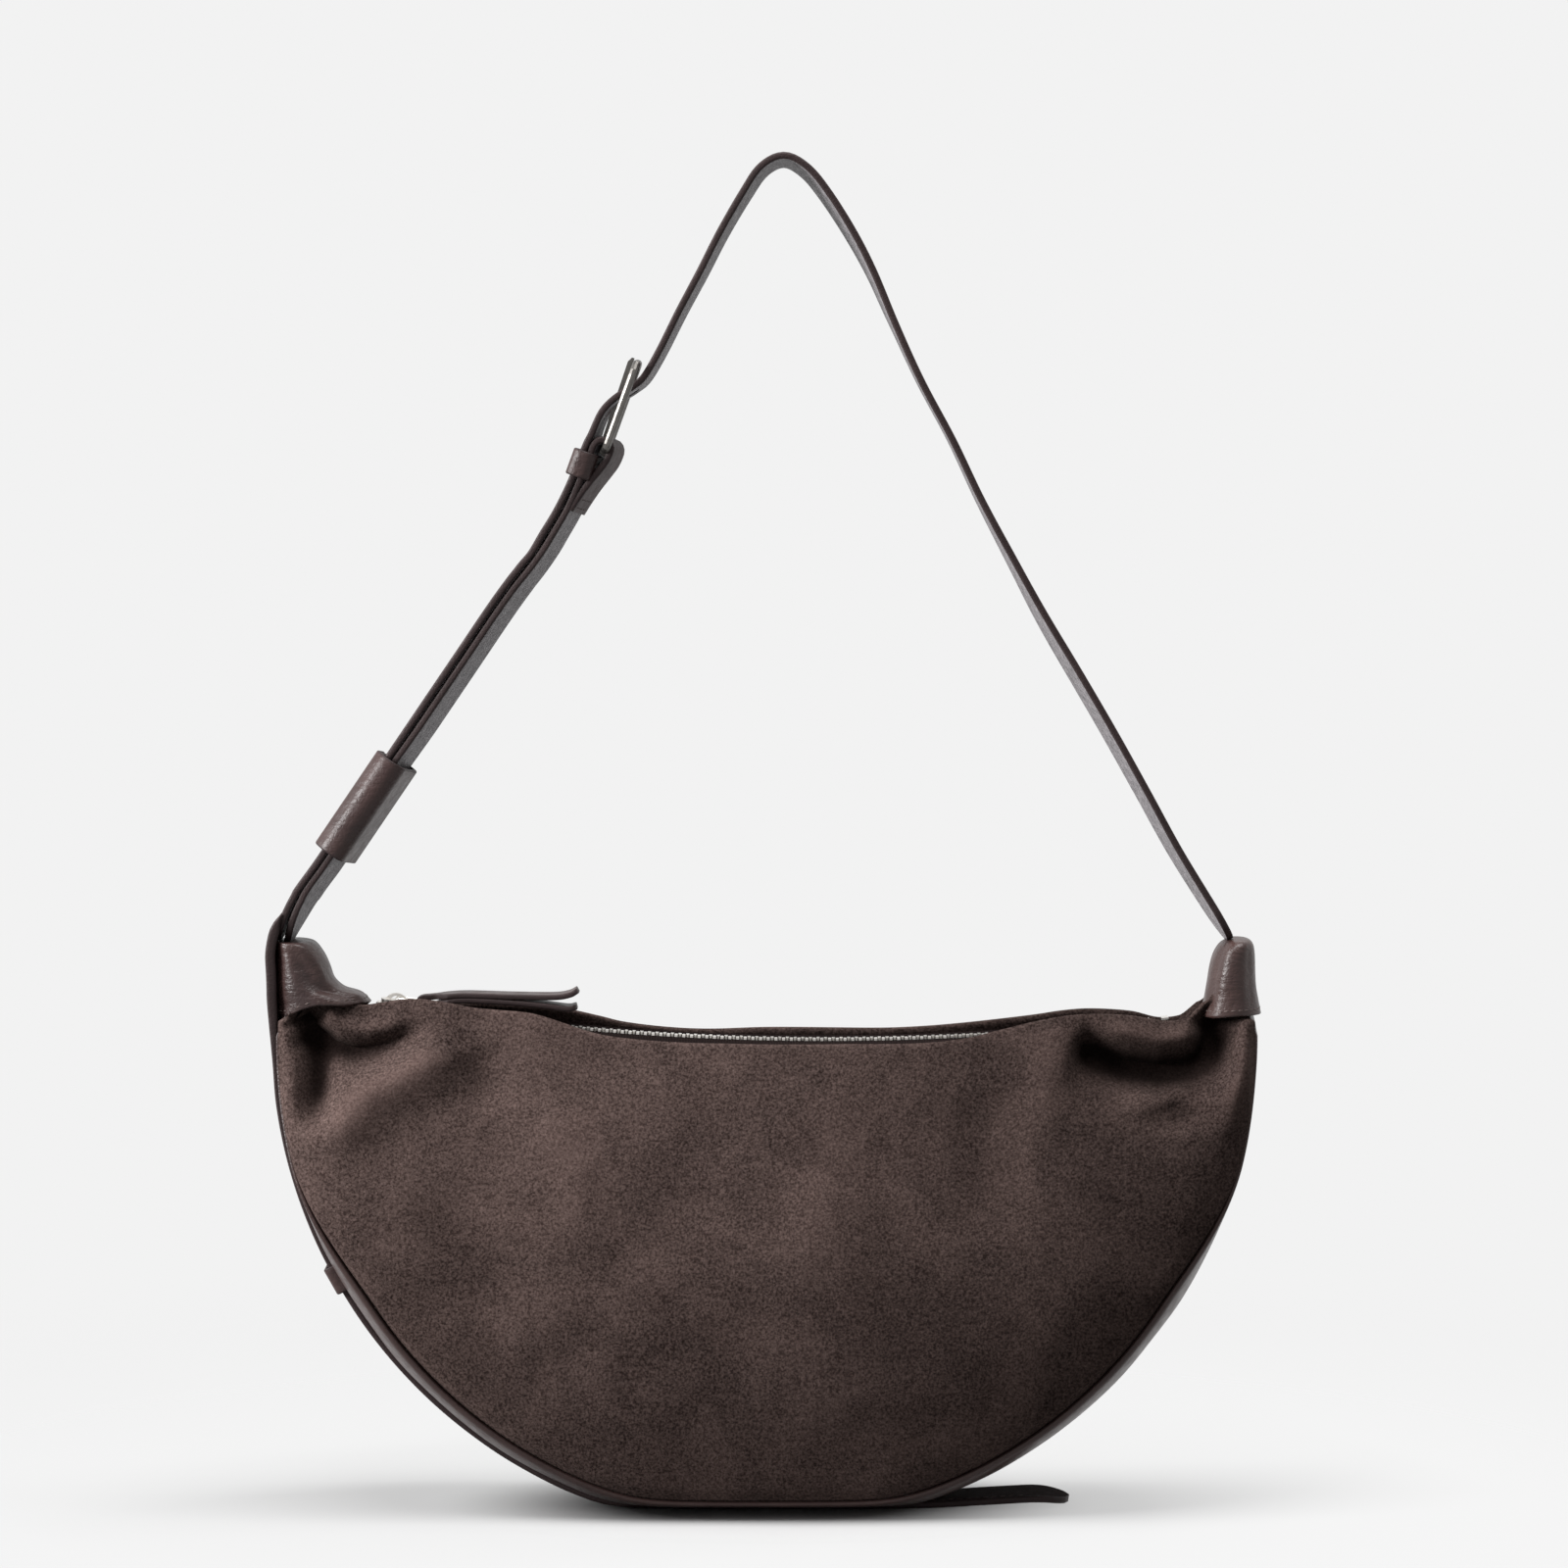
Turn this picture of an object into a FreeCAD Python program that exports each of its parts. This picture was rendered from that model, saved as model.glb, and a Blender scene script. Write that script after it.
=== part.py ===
import FreeCAD, Part
import math
import os
from FreeCAD import Vector

# A half-moon crossbody bag, standing on its curved base with its strap raised.
# The origin is on the floor below the middle of the bag.
# X points to the right, Y to the back and Z up. All lengths are millimetres.

# The bag's side outline, an ellipse that the floor flattens below
HALF_LENGTH = 169.0
SHOULDER_Z = 165.0
BELLY_DROP = 171.0
BASE_Z = 2.5
FLOOR_SOFTNESS = 1.5

# Where the panels are sewn to the gusset
SEAM_INSET = 6.8
SEAM_LIFT = 3.8
BASE_HALF_DEPTH = 33.0
NECK_HALF_DEPTH = 13.0
NECK_START_Z = 75.0
NECK_Z = 172.6

# The gusset's ends inside the caps
TONGUE_INSET = 2.2
TONGUE_CROWN = 1.5

# Leathers and cloths
SUEDE_THICK = 1.8
GUSSET_THICK = 1.6
LINING_THICK = 0.8
TAPE_THICK = 0.7
SEAM_GAP = 0.3
LINING_GAP = 0.7

# The mouth and its zip, which follows one large arc
ZIP_RADIUS = 950.0
ZIP_MID_X = 20.5
ZIP_LOW_Z = 162.3
ZIP_LEFT_INSET = 33.0
ZIP_LEFT_X = ZIP_LEFT_INSET - HALF_LENGTH
ZIP_RIGHT_INSET = 29.0
ZIP_RIGHT_X = HALF_LENGTH - ZIP_RIGHT_INSET
LIP_HALF_GAP = 10.5
TOOTH_PITCH = 2.67
TOOTH_THICK = 1.1
TOOTH_HEIGHT = 2.4
TOOTH_HEAD = 0.9
TOOTH_ROOT = 3.2
TOOTH_GRIP = 1.6
TOOTH_NOSE = 0.7
GRIP_SLACK = 0.1
STOP_LENGTH = 3.0
STOP_FILL_SHARE = 0.8

# The slider, its link and its leather tab
SLIDER_FROM_END = 7.0
SLIDER_X = ZIP_LEFT_X + SLIDER_FROM_END
SLIDER_LENGTH = 11.0
SLIDER_HALF_WIDTH = 4.4
SLIDER_NOSE_HALF_WIDTH = 2.6
SLIDER_PLATE = 1.3
SLIDER_SLACK = 0.18
SLIDER_RIM = 0.5
CROWN_WIDTH = 2.4
CROWN_WALL = 0.9
CROWN_CLEAR = 1.5
CROWN_LENGTH = 8.0
LINK_LENGTH = 9.0
LINK_HALF_WIDTH = 3.6
LINK_CORNER = 1.2
LINK_WIRE = 1.1
TAB_LENGTH = 56.0
TAB_WIDTH = 12.0
TAB_THICK = 1.2
TAB_NECK_WIDTH = 5.2
TAB_NECK_LENGTH = 5.0
TAB_TAPER_LENGTH = 5.0
TAB_SPLAY_DEG = 2.6
TAB_RISE_DEG = 2.5
TAB_SHORT_SHARE = 0.985

# The strap, whose lower end turns just above the caps
STRAP_WIDTH = 24.0
STRAP_THICK = 2.2
LAYER_GAP = 0.4
CAP_TOP_Z = 197.2
SWING_GAP = 0.8
SWING_Z = CAP_TOP_Z + SWING_GAP + STRAP_WIDTH / 2
ARCH_TOP_Z = 468.8
ARCH_TOP_X = 6.7
RIGHT_ROOT_INSET = 8.1
RIGHT_ROOT_X = HALF_LENGTH - RIGHT_ROOT_INSET
LEFT_ROOT_STAND = 1.4
LEFT_ROOT_X = -HALF_LENGTH - LEFT_ROOT_STAND

# The straight run, where two layers lie together, as shares of the left root's reach
RUN_TOP_SHARE = 0.5563
RUN_TOP_X = LEFT_ROOT_X * RUN_TOP_SHARE
RUN_TOP_Z = 314.5
RUN_LOW_SHARE = 0.9149
RUN_LOW_X = LEFT_ROOT_X * RUN_LOW_SHARE
RUN_LOW_Z = 224.7
FOOT_TURN_SHARE = 0.7
HOLE_DIA = 3.6
HOLE_COUNT = 5
HOLE_STEP = 26.0
PRONG_SLOT_LENGTH = 15.0

# The buckle, measured along and outward from its heel bar
HEEL_SHARE = 0.3251
HEEL_X = LEFT_ROOT_X * HEEL_SHARE
HEEL_Z = 367.9
BUCKLE_LENGTH = 31.5
BUCKLE_PLAY = 2.0
BUCKLE_INNER_WIDTH = STRAP_WIDTH + BUCKLE_PLAY
BUCKLE_WIRE = 2.8
BUCKLE_CORNER = 4.0
BUCKLE_LEAN_DEG = 70.0
PRONG_THICK = 1.8
PRONG_WIDTH = 2.6
PRONG_EYE_WALL = 1.0
PRONG_BEND_SHARE = 0.5
PRONG_TAPER_SHARE = 0.9
PIN_SLACK = 0.15
BUCKLE_KEEPER_LENGTH = 8.7
KEEPER_WALL = 1.4
KEEPER_SLACK = 0.6
LOOP_CORNER = 0.5
CORNER_LIMIT_SHARE = 0.9
KEEPER_ROOT = 2.2

# The sliding sleeve and the keeper on the gusset
SLEEVE_LENGTH = 39.0
SLEEVE_WALL = 1.6
SLEEVE_SLACK = 0.5
SLEEVE_FROM_RUN_LOW = 4.5
GUSSET_KEEPER_LENGTH = 10.0
GUSSET_KEEPER_SHARE = 0.8728

# The tail of the strap
TAIL_TIP_X = 105.5
TAIL_TIP_LENGTH = 14.0
TIP_ALONG_SHARE = 0.62
TIP_WIDE_SHARE = 0.6
TAIL_TOUCH_X = -30.0

# The end caps
CAP_WALL = 1.8
CAP_RIM_Z = 173.0
CAP_CORNER = 5.0
CAP_PROUD = 1.5

# Counts of stations that shape the curved pieces
PANEL_STATIONS = 17
GUSSET_STATIONS = 29
RIBBON_STATIONS = 10
CROWN_STEPS = 6
CORNER_STEPS = 4
WIRE_SIDES = 10
HOLE_SIDES = 12
SWING_SIDES = 32

RUN_DIR = Vector(RUN_TOP_X - RUN_LOW_X, 0, RUN_TOP_Z - RUN_LOW_Z).normalize()
RUN_IN = Vector(RUN_DIR.z, 0, -RUN_DIR.x)
LAYER_PITCH = STRAP_THICK + LAYER_GAP
ZIP_CENTRE = Vector(ZIP_MID_X, 0, ZIP_LOW_Z + ZIP_RADIUS)


def save(name, shape):
    shape.exportStep("parts/" + name + ".step")
    solids = shape.Solids
    volume = sum(solid.Volume for solid in solids)
    print(f"{name}: {len(solids)} solids, {volume:.0f} mm3, valid {shape.isValid()}")


def curve_through(points, start=None, end=None):
    curve = Part.BSplineCurve()
    if start is None:
        curve.interpolate(points)
    else:
        curve.interpolate(Points=points, InitialTangent=start, FinalTangent=end)
    return curve


def facet_loft(rings, closed=False):
    """A solid through rings of equally many points, with two flat facets per step."""
    faces = []
    count = len(rings[0])
    pairs = list(zip(rings, rings[1:]))
    if closed:
        pairs.append((rings[-1], rings[0]))
    for ring, following in pairs:
        for index in range(count):
            after = (index + 1) % count
            a, b, c, d = ring[index], ring[after], following[after], following[index]
            faces.append(Part.Face(Part.makePolygon([a, b, c, a])))
            faces.append(Part.Face(Part.makePolygon([a, c, d, a])))
    if not closed:
        for ring in (rings[0], rings[-1]):
            faces.append(Part.Face(Part.makePolygon(ring + [ring[0]])))
    shell = Part.makeShell(faces)
    shell.sewShape()
    solid = Part.makeSolid(shell)
    if solid.Volume < 0:
        solid.reverse()
    return solid


def smooth_floor(z, level):
    """A height that bends softly to a level instead of passing below it."""
    return z + FLOOR_SOFTNESS * math.log(1 + math.exp((level - z) / FLOOR_SOFTNESS))


def outline_point(angle, inset, lift):
    """A point of the bag's side outline; the angle is zero at the bottom."""
    x = (HALF_LENGTH - inset) * math.sin(angle)
    z = SHOULDER_Z - (BELLY_DROP - inset) * math.cos(angle)
    return Vector(x, 0, smooth_floor(z, BASE_Z + lift))


def outline_z(x, inset, lift):
    """The height of the side outline at x."""
    share = max(-1, min(1, x / (HALF_LENGTH - inset)))
    return outline_point(math.asin(share), inset, lift).z


def half_depth(z):
    """Half the gusset's width, which narrows towards the caps."""
    share = max(0, min(1, (z - NECK_START_Z) / (NECK_Z - NECK_START_Z)))
    ease = share * share * (3 - 2 * share)
    return BASE_HALF_DEPTH + (NECK_HALF_DEPTH - BASE_HALF_DEPTH) * ease


def zip_z(x):
    """The height of the zip's arc at x."""
    return ZIP_CENTRE.z - math.sqrt(ZIP_RADIUS**2 - (x - ZIP_MID_X)**2)


# The lips of the mouth: shares of the half length, and heights above the zip's low point
FRONT_LIP_SHARES = [-1.0, -0.845, -0.81, -0.72, -0.65, -0.56, -0.45, -0.35, -0.29, -0.18,
                    0.05, 0.34, 0.40, 0.48, 0.58, 0.74, 0.87, 1.0]
LIP_RISE = 14.5
FRONT_RISE_SHARES = [0.69, 0.69, 0.86, 1.0, 0.99, 0.90, 0.56, 0.27, 0.18, 0.07,
                     0.0, 0.03, 0.12, 0.31, 0.54, 0.64, 0.66, 0.69]
BACK_LIP_SHARES = [-1.0, -0.845, -0.81, -0.72, -0.57, -0.41, -0.29, -0.12, 0.01, 0.20,
                   0.41, 0.55, 0.70, 0.82, 0.90, 1.0]
BACK_RISE_SHARES = [0.69, 0.69, 0.80, 0.88, 0.80, 0.62, 0.38, 0.20, 0.27, 0.25,
                    0.33, 0.43, 0.55, 0.42, 0.50, 0.69]


def lip_z(lip, x):
    """The height of a lip at x, between its stated points."""
    x_shares, rise_shares = lip
    share = x / HALF_LENGTH
    for index in range(len(x_shares) - 1):
        if share <= x_shares[index + 1]:
            break
    step = (share - x_shares[index]) / (x_shares[index + 1] - x_shares[index])
    rise = rise_shares[index] + (rise_shares[index + 1] - rise_shares[index]) * step
    return ZIP_LOW_Z + rise * LIP_RISE


FRONT_LIP = (FRONT_LIP_SHARES, FRONT_RISE_SHARES)
BACK_LIP = (BACK_LIP_SHARES, BACK_RISE_SHARES)


def lining_top_z(lip, x):
    """The lining ends below the zip's tapes."""
    return min(lip_z(lip, x), zip_z(x)) - TOOTH_HEIGHT / 2 - LINING_THICK


# How far the panels swell between the seam and the lip, by height share
SWELL = 18.0
SWELL_HEIGHT_SHARES = [0.0, 0.05, 0.13, 0.25, 0.4, 0.55, 0.7, 0.84, 0.94, 1.0]
SWELL_DEPTH_SHARES = [0.0, 0.27, 0.56, 0.86, 1.0, 0.95, 0.72, 0.4, 0.15, 0.0]
END_SWELL_SHARE = 0.18
END_FALL_POWER = 2.5
PANEL_END_SHARE = 0.93


def panel_profile(x, side, top, inset):
    """Points of a panel's section at x, from the seam up to its top edge.

    The inset moves the whole section inwards, for thickness and lining.
    """
    low = outline_z(x, SEAM_INSET + inset, SEAM_LIFT + inset)
    seam_y = half_depth(low)
    along = abs(x) / (HALF_LENGTH - SEAM_INSET)
    swell = SWELL * (END_SWELL_SHARE + (1 - END_SWELL_SHARE) * (1 - along**END_FALL_POWER))
    points = []
    for height, depth in zip(SWELL_HEIGHT_SHARES, SWELL_DEPTH_SHARES):
        y = seam_y + (LIP_HALF_GAP - seam_y) * height + swell * depth
        z = low + (top - low) * height
        points.append(Vector(x, side * (y - inset), z))
    return points


def panel(side, lip, top_of, inset, thick, left_out):
    """One big panel as a loft of thin sections, from left to right.

    A lining leaves out the outermost stations, and shares all others.
    """
    sections = []
    for index in range(left_out, PANEL_STATIONS - left_out):
        share = 2 * index / (PANEL_STATIONS - 1) - 1
        x = (HALF_LENGTH - SEAM_INSET) * math.sin(share * PANEL_END_SHARE * math.pi / 2)
        outer = panel_profile(x, side, top_of(lip, x), inset)
        inner = [Vector(p.x, p.y - side * thick, p.z) for p in reversed(outer)]
        sections.append(outer + inner)
    return facet_loft(sections)


def gusset_strip(inset, thick, edge_gap, tongue_top_z):
    """The strip round the belly, crowned between its two seams.

    With a tongue top, both ends run on up inside the end caps.
    """
    sections = []
    for index in range(GUSSET_STATIONS):
        share = 2 * index / (GUSSET_STATIONS - 1) - 1
        angle = share * math.pi / 2
        middle = outline_point(angle, inset, inset)
        edge = outline_point(angle, SEAM_INSET + inset, SEAM_LIFT + inset)
        wide = half_depth(edge.z) - edge_gap
        sections.append(crowned_section(middle, edge, angle, wide, thick))
    if tongue_top_z:
        for z in (CAP_RIM_Z, tongue_top_z):
            sections.insert(0, tongue_section(-1, z, thick))
            sections.append(tongue_section(1, z, thick))
    return facet_loft(sections)


def tongue_section(side, z, thick):
    """The gusset's nearly flat section inside an end cap."""
    x = HALF_LENGTH - TONGUE_INSET
    middle = Vector(side * x, 0, z)
    edge = Vector(side * (x - TONGUE_CROWN), 0, z)
    wide = NECK_HALF_DEPTH - CAP_WALL
    return crowned_section(middle, edge, side * math.pi / 2, wide, thick)


def crowned_section(middle, edge, angle, wide, thick):
    """A thin closed section across the strip, raised along its middle."""
    inward = Vector(-math.sin(angle), 0, math.cos(angle)) * thick
    outer = []
    for index in range(CROWN_STEPS + 1):
        across = 2 * index / CROWN_STEPS - 1
        point = edge + (middle - edge) * (1 - across**2)
        outer.append(point + Vector(0, wide * across, 0))
    inner = [point + inward for point in reversed(outer)]
    return outer + inner


def ribbon(curves, counts, width, thick):
    """A flat band: its centre lines are offset both ways, then drawn across Y."""
    left, right = [], []
    for curve, count in zip(curves, counts):
        skip = 1 if left else 0
        left += offset_points(curve, thick / 2, count)[skip:]
        right += offset_points(curve, -thick / 2, count)[skip:]
    return across(left + list(reversed(right)), width)


def across(outline, width):
    """A closed outline in the XZ plane, drawn out evenly both ways along Y."""
    band = Part.Face(Part.makePolygon(outline + [outline[0]])).extrude(Vector(0, width, 0))
    band.translate(Vector(0, -width / 2, 0))
    return band


def offset_points(curve, distance, count):
    """Points beside a curve, evenly spread over its length."""
    points = []
    for value in curve.discretize(Number=count + 1):
        tangent = curve.tangent(curve.parameter(value))[0]
        points.append(value + Vector(-tangent.z, 0, tangent.x) * distance)
    return points


# The strap's arch, as shares of the span from each root to the top and of the rise
RIGHT_ARCH_SHARES = [(1.0, 0.0), (0.915, 0.077), (0.775, 0.213), (0.66, 0.322),
                     (0.565, 0.415), (0.48, 0.51), (0.37, 0.636), (0.283, 0.737),
                     (0.215, 0.83), (0.169, 0.889), (0.104, 0.943), (0.045, 0.985)]
LEFT_ARCH_SHARES = [(0.045, 0.986), (0.068, 0.969), (0.105, 0.932), (0.142, 0.890),
                    (0.179, 0.838), (0.2095, 0.794)]
# The strap where it crosses the buckle: along and outward, as shares of its length
BUCKLE_CROSS_SHARES = [(1.30, -0.232), (1.016, -0.19), (0.889, -0.146), (0.73, -0.057),
                       (0.571, 0.0635), (0.413, 0.143), (0.254, 0.168), (-0.0635, 0.171),
                       (-0.317, 0.179)]
SLOT_INDEX = 4
# The two layers between the buckle and the straight run, as shares of that stretch
BEND_SHARES = [(0.332, 0.273), (0.444, 0.421), (0.566, 0.560), (0.673, 0.687), (0.782, 0.785)]


def buckle_point(along, outward):
    lean = math.radians(BUCKLE_LEAN_DEG)
    up = Vector(math.cos(lean), 0, math.sin(lean))
    out = Vector(-up.z, 0, up.x)
    return Vector(HEEL_X, 0, HEEL_Z) + up * along + out * outward


def right_arch_points():
    rise = ARCH_TOP_Z - (SWING_Z - STRAP_WIDTH / 2)
    points = []
    for x_share, z_share in RIGHT_ARCH_SHARES:
        x = ARCH_TOP_X + (RIGHT_ROOT_X - ARCH_TOP_X) * x_share
        points.append(Vector(x, 0, ARCH_TOP_Z - rise * (1 - z_share)))
    return points


def left_arch_points():
    rise = ARCH_TOP_Z - (SWING_Z - STRAP_WIDTH / 2)
    points = []
    for x_share, z_share in LEFT_ARCH_SHARES:
        x = ARCH_TOP_X + (LEFT_ROOT_X - ARCH_TOP_X) * x_share
        points.append(Vector(x, 0, ARCH_TOP_Z - rise * (1 - z_share)))
    return points


def bend_points():
    points = []
    for x_share, z_share in BEND_SHARES:
        points.append(Vector(HEEL_X + (RUN_TOP_X - HEEL_X) * x_share, 0,
                             HEEL_Z + (RUN_TOP_Z - HEEL_Z) * z_share))
    return points


def swing_trim(band, side):
    """Rounds a band's lower end about the swing axis, so that it can turn."""
    radius = STRAP_WIDTH / 2
    reach = HALF_LENGTH + STRAP_WIDTH
    block = Part.makeBox(reach, 4 * radius, 2 * radius)
    block.translate(Vector(0 if side > 0 else -reach, -2 * radius, SWING_Z - 2 * radius))
    rings = []
    for x in (-reach, reach):
        ring = []
        for index in range(SWING_SIDES):
            angle = 2 * math.pi * (index + 0.5) / SWING_SIDES
            ring.append(Vector(x, radius * math.cos(angle), SWING_Z + radius * math.sin(angle)))
        rings.append(ring)
    return band.cut(block.cut(facet_loft(rings)))


def arch_curve():
    """The strap's centre line from the right root over the top to the straight run."""
    top = [Vector(ARCH_TOP_X, 0, ARCH_TOP_Z)]
    cross = [buckle_point(BUCKLE_LENGTH * along, BUCKLE_LENGTH * outward)
             for along, outward in BUCKLE_CROSS_SHARES]
    points = right_arch_points() + top + left_arch_points() + cross + bend_points()
    points.append(Vector(RUN_TOP_X, 0, RUN_TOP_Z))
    return curve_through(points, (points[1] - points[0]).normalize(), RUN_DIR * -1)


def foot_curve(offset, foot_shift):
    """The strap's bend from the straight run down to the swing axis."""
    start = Vector(RUN_LOW_X, 0, RUN_LOW_Z) + RUN_IN * offset
    end = Vector(LEFT_ROOT_X + foot_shift, 0, SWING_Z - STRAP_WIDTH / 2)
    leave = Vector((end.x - start.x) * FOOT_TURN_SHARE, 0, end.z - start.z).normalize()
    return curve_through([start, end], RUN_DIR * -1, leave)


def make_strap_arch():
    run = Part.LineSegment(Vector(RUN_TOP_X, 0, RUN_TOP_Z), Vector(RUN_LOW_X, 0, RUN_LOW_Z))
    counts = [6 * RIBBON_STATIONS, 1, RIBBON_STATIONS]
    band = ribbon([arch_curve(), run, foot_curve(0, 0)], counts, STRAP_WIDTH, STRAP_THICK)
    band = swing_trim(swing_trim(band, 1), -1)
    for hole in strap_holes():
        band = band.cut(hole)
    return band


def strap_holes():
    """The slot that the prong passes, and the spare holes down the run."""
    holes = []
    share = BUCKLE_CROSS_SHARES[SLOT_INDEX]
    middle = buckle_point(BUCKLE_LENGTH * share[0], BUCKLE_LENGTH * share[1])
    slot = Part.makeBox(PRONG_SLOT_LENGTH, HOLE_DIA, 4 * STRAP_THICK)
    slot.translate(Vector(-PRONG_SLOT_LENGTH / 2, -HOLE_DIA / 2, -2 * STRAP_THICK))
    above = BUCKLE_CROSS_SHARES[SLOT_INDEX - 1]
    below = BUCKLE_CROSS_SHARES[SLOT_INDEX + 1]
    lean = math.atan2(above[1] - below[1], above[0] - below[0])
    turn = BUCKLE_LEAN_DEG + math.degrees(lean)
    slot.rotate(Vector(0, 0, 0), Vector(0, 1, 0), -turn)
    slot.translate(middle)
    holes.append(slot)
    for index in range(HOLE_COUNT):
        place = Vector(RUN_TOP_X, 0, RUN_TOP_Z) - RUN_DIR * (index * HOLE_STEP)
        start = place - RUN_IN * (2 * STRAP_THICK)
        holes.append(hole_prism(start, RUN_IN, 4 * STRAP_THICK))
    return holes


# The short strap's fold round the heel bar: along and outward, as shares of the buckle
FOLD_SHARES = [(-0.10, 0.093), (0.0, 0.090), (0.09, 0.05), (0.112, -0.0635), (0.0, -0.159),
               (-0.159, -0.156), (-0.444, -0.083), (-0.762, -0.0127)]
NEAR_LEG_SHARE = 0.095


def make_buckle_strap():
    """The short strap, from the left cap up, round the heel bar and back."""
    belt = arch_curve()
    inner = []
    for point in [Vector(RUN_TOP_X, 0, RUN_TOP_Z)] + list(reversed(bend_points())):
        tangent = belt.tangent(belt.parameter(point))[0]
        inner.append(point + Vector(-tangent.z, 0, tangent.x) * LAYER_PITCH)
    fold = [buckle_point(BUCKLE_LENGTH * along, BUCKLE_LENGTH * outward)
            for along, outward in FOLD_SHARES]
    last = (fold[-1] - fold[-2]).normalize()
    top = curve_through(inner + fold, RUN_DIR, last)
    run = Part.LineSegment(Vector(RUN_LOW_X, 0, RUN_LOW_Z) + RUN_IN * LAYER_PITCH, inner[0])
    foot = foot_curve(LAYER_PITCH, 2 * LAYER_PITCH)
    foot.reverse()
    counts = [RIBBON_STATIONS, 1, 5 * RIBBON_STATIONS]
    band = ribbon([foot, run, top], counts, STRAP_WIDTH, STRAP_THICK)
    slot_width = PRONG_WIDTH + 2 * PIN_SLACK + LAYER_GAP
    slot = Part.makeBox(BUCKLE_LENGTH / 2, slot_width, BUCKLE_LENGTH / 2)
    slot.translate(Vector(-BUCKLE_LENGTH / 6, -slot_width / 2, -BUCKLE_LENGTH / 4))
    return swing_trim(band.cut(in_buckle_frame(slot)), -1)


def wire_loop(long, half, corner, radius):
    """A round wire bent flat to a rounded rectangle; its near side runs through the origin."""
    rings = []
    centres = [(long - corner, half - corner), (corner, half - corner),
               (corner, corner - half), (long - corner, corner - half)]
    for quarter, (x, y) in enumerate(centres):
        for step in range(CORNER_STEPS + 1):
            angle = (quarter + step / CORNER_STEPS) * math.pi / 2
            outward = Vector(math.cos(angle), math.sin(angle), 0)
            middle = Vector(x, y, 0) + outward * corner
            ring = []
            for index in range(WIRE_SIDES):
                turn = 2 * math.pi * (index + 0.5) / WIRE_SIDES
                ring.append(middle + outward * (radius * math.cos(turn))
                            + Vector(0, 0, radius * math.sin(turn)))
            rings.append(ring)
    return facet_loft(rings, True)


def in_buckle_frame(shape):
    """Turns a shape drawn along X and outward Z to the buckle's lean."""
    shape.rotate(Vector(0, 0, 0), Vector(0, 1, 0), -BUCKLE_LEAN_DEG)
    shape.translate(Vector(HEEL_X, 0, HEEL_Z))
    return shape


def make_buckle_frame():
    """A round wire bent to a rectangle, with the heel bar as its near side."""
    half = BUCKLE_INNER_WIDTH / 2 + BUCKLE_WIRE / 2
    return in_buckle_frame(wire_loop(BUCKLE_LENGTH, half, BUCKLE_CORNER, BUCKLE_WIRE / 2))


def make_buckle_prong():
    """The prong: an eye on the heel bar and a shank that rests on the top bar."""
    inner = BUCKLE_WIRE / 2 + PIN_SLACK
    outer = inner + PRONG_EYE_WALL
    start = Vector(0, -PRONG_WIDTH / 2, 0)
    eye = Part.makeCylinder(outer, PRONG_WIDTH, start, Vector(0, 1, 0))
    rest = BUCKLE_WIRE / 2 + PIN_SLACK
    tip = BUCKLE_LENGTH + BUCKLE_WIRE / 2
    outline = [Vector(0, 0, outer - PRONG_THICK), Vector(0, 0, outer),
               Vector(BUCKLE_LENGTH * PRONG_BEND_SHARE, 0, outer + PRONG_THICK / 4),
               Vector(tip - PRONG_THICK, 0, rest + PRONG_THICK),
               Vector(tip, 0, rest + PRONG_THICK / 2), Vector(tip, 0, rest),
               Vector(BUCKLE_LENGTH * PRONG_BEND_SHARE, 0, outer - PRONG_THICK * PRONG_TAPER_SHARE)]
    wire = Part.makePolygon(outline + [outline[0]])
    shank = Part.Face(wire).extrude(Vector(0, PRONG_WIDTH, 0))
    shank.translate(start)
    bore = Part.makeCylinder(inner, PRONG_WIDTH, start, Vector(0, 1, 0))
    return in_buckle_frame(eye.fuse(shank).cut(bore).removeSplitter())


def loop_round(length, inner_width, inner_height, wall):
    """A closed leather loop, drawn along X with its hollow through."""
    walls = []
    for extra, corner in ((wall, wall + LOOP_CORNER), (0, LOOP_CORNER)):
        half_high = inner_height / 2 + extra
        rings = []
        for reach in (0, length):
            ring = rounded_ring(-half_high, half_high, inner_width / 2 + extra, 0, corner)
            rings.append([Vector(reach, point.y, point.x) for point in ring])
        walls.append(facet_loft(rings))
    return walls[0].cut(walls[1])


def hole_prism(start, direction, length):
    """A round punch of short flat sides."""
    beside = direction.cross(Vector(0, 1, 0))
    rings = []
    for reach in (0, length):
        ring = []
        for index in range(HOLE_SIDES):
            angle = 2 * math.pi * index / HOLE_SIDES
            spoke = beside * math.cos(angle) + Vector(0, math.sin(angle), 0)
            ring.append(start + direction * reach + spoke * (HOLE_DIA / 2))
        rings.append(ring)
    return facet_loft(rings)


def make_buckle_keeper():
    """The small loop round the strap and the near leg of the fold."""
    wide = STRAP_WIDTH + 2 * KEEPER_SLACK
    high = STRAP_THICK + LAYER_PITCH + 2 * KEEPER_SLACK
    loop = loop_round(BUCKLE_KEEPER_LENGTH, wide, high, KEEPER_WALL)
    middle = BUCKLE_LENGTH * (BUCKLE_CROSS_SHARES[-1][1] + NEAR_LEG_SHARE) / 2
    eye = BUCKLE_WIRE / 2 + PIN_SLACK + PRONG_EYE_WALL
    start = -eye - KEEPER_SLACK - BUCKLE_KEEPER_LENGTH
    loop.translate(Vector(start, 0, middle))
    return in_buckle_frame(loop)


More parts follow.
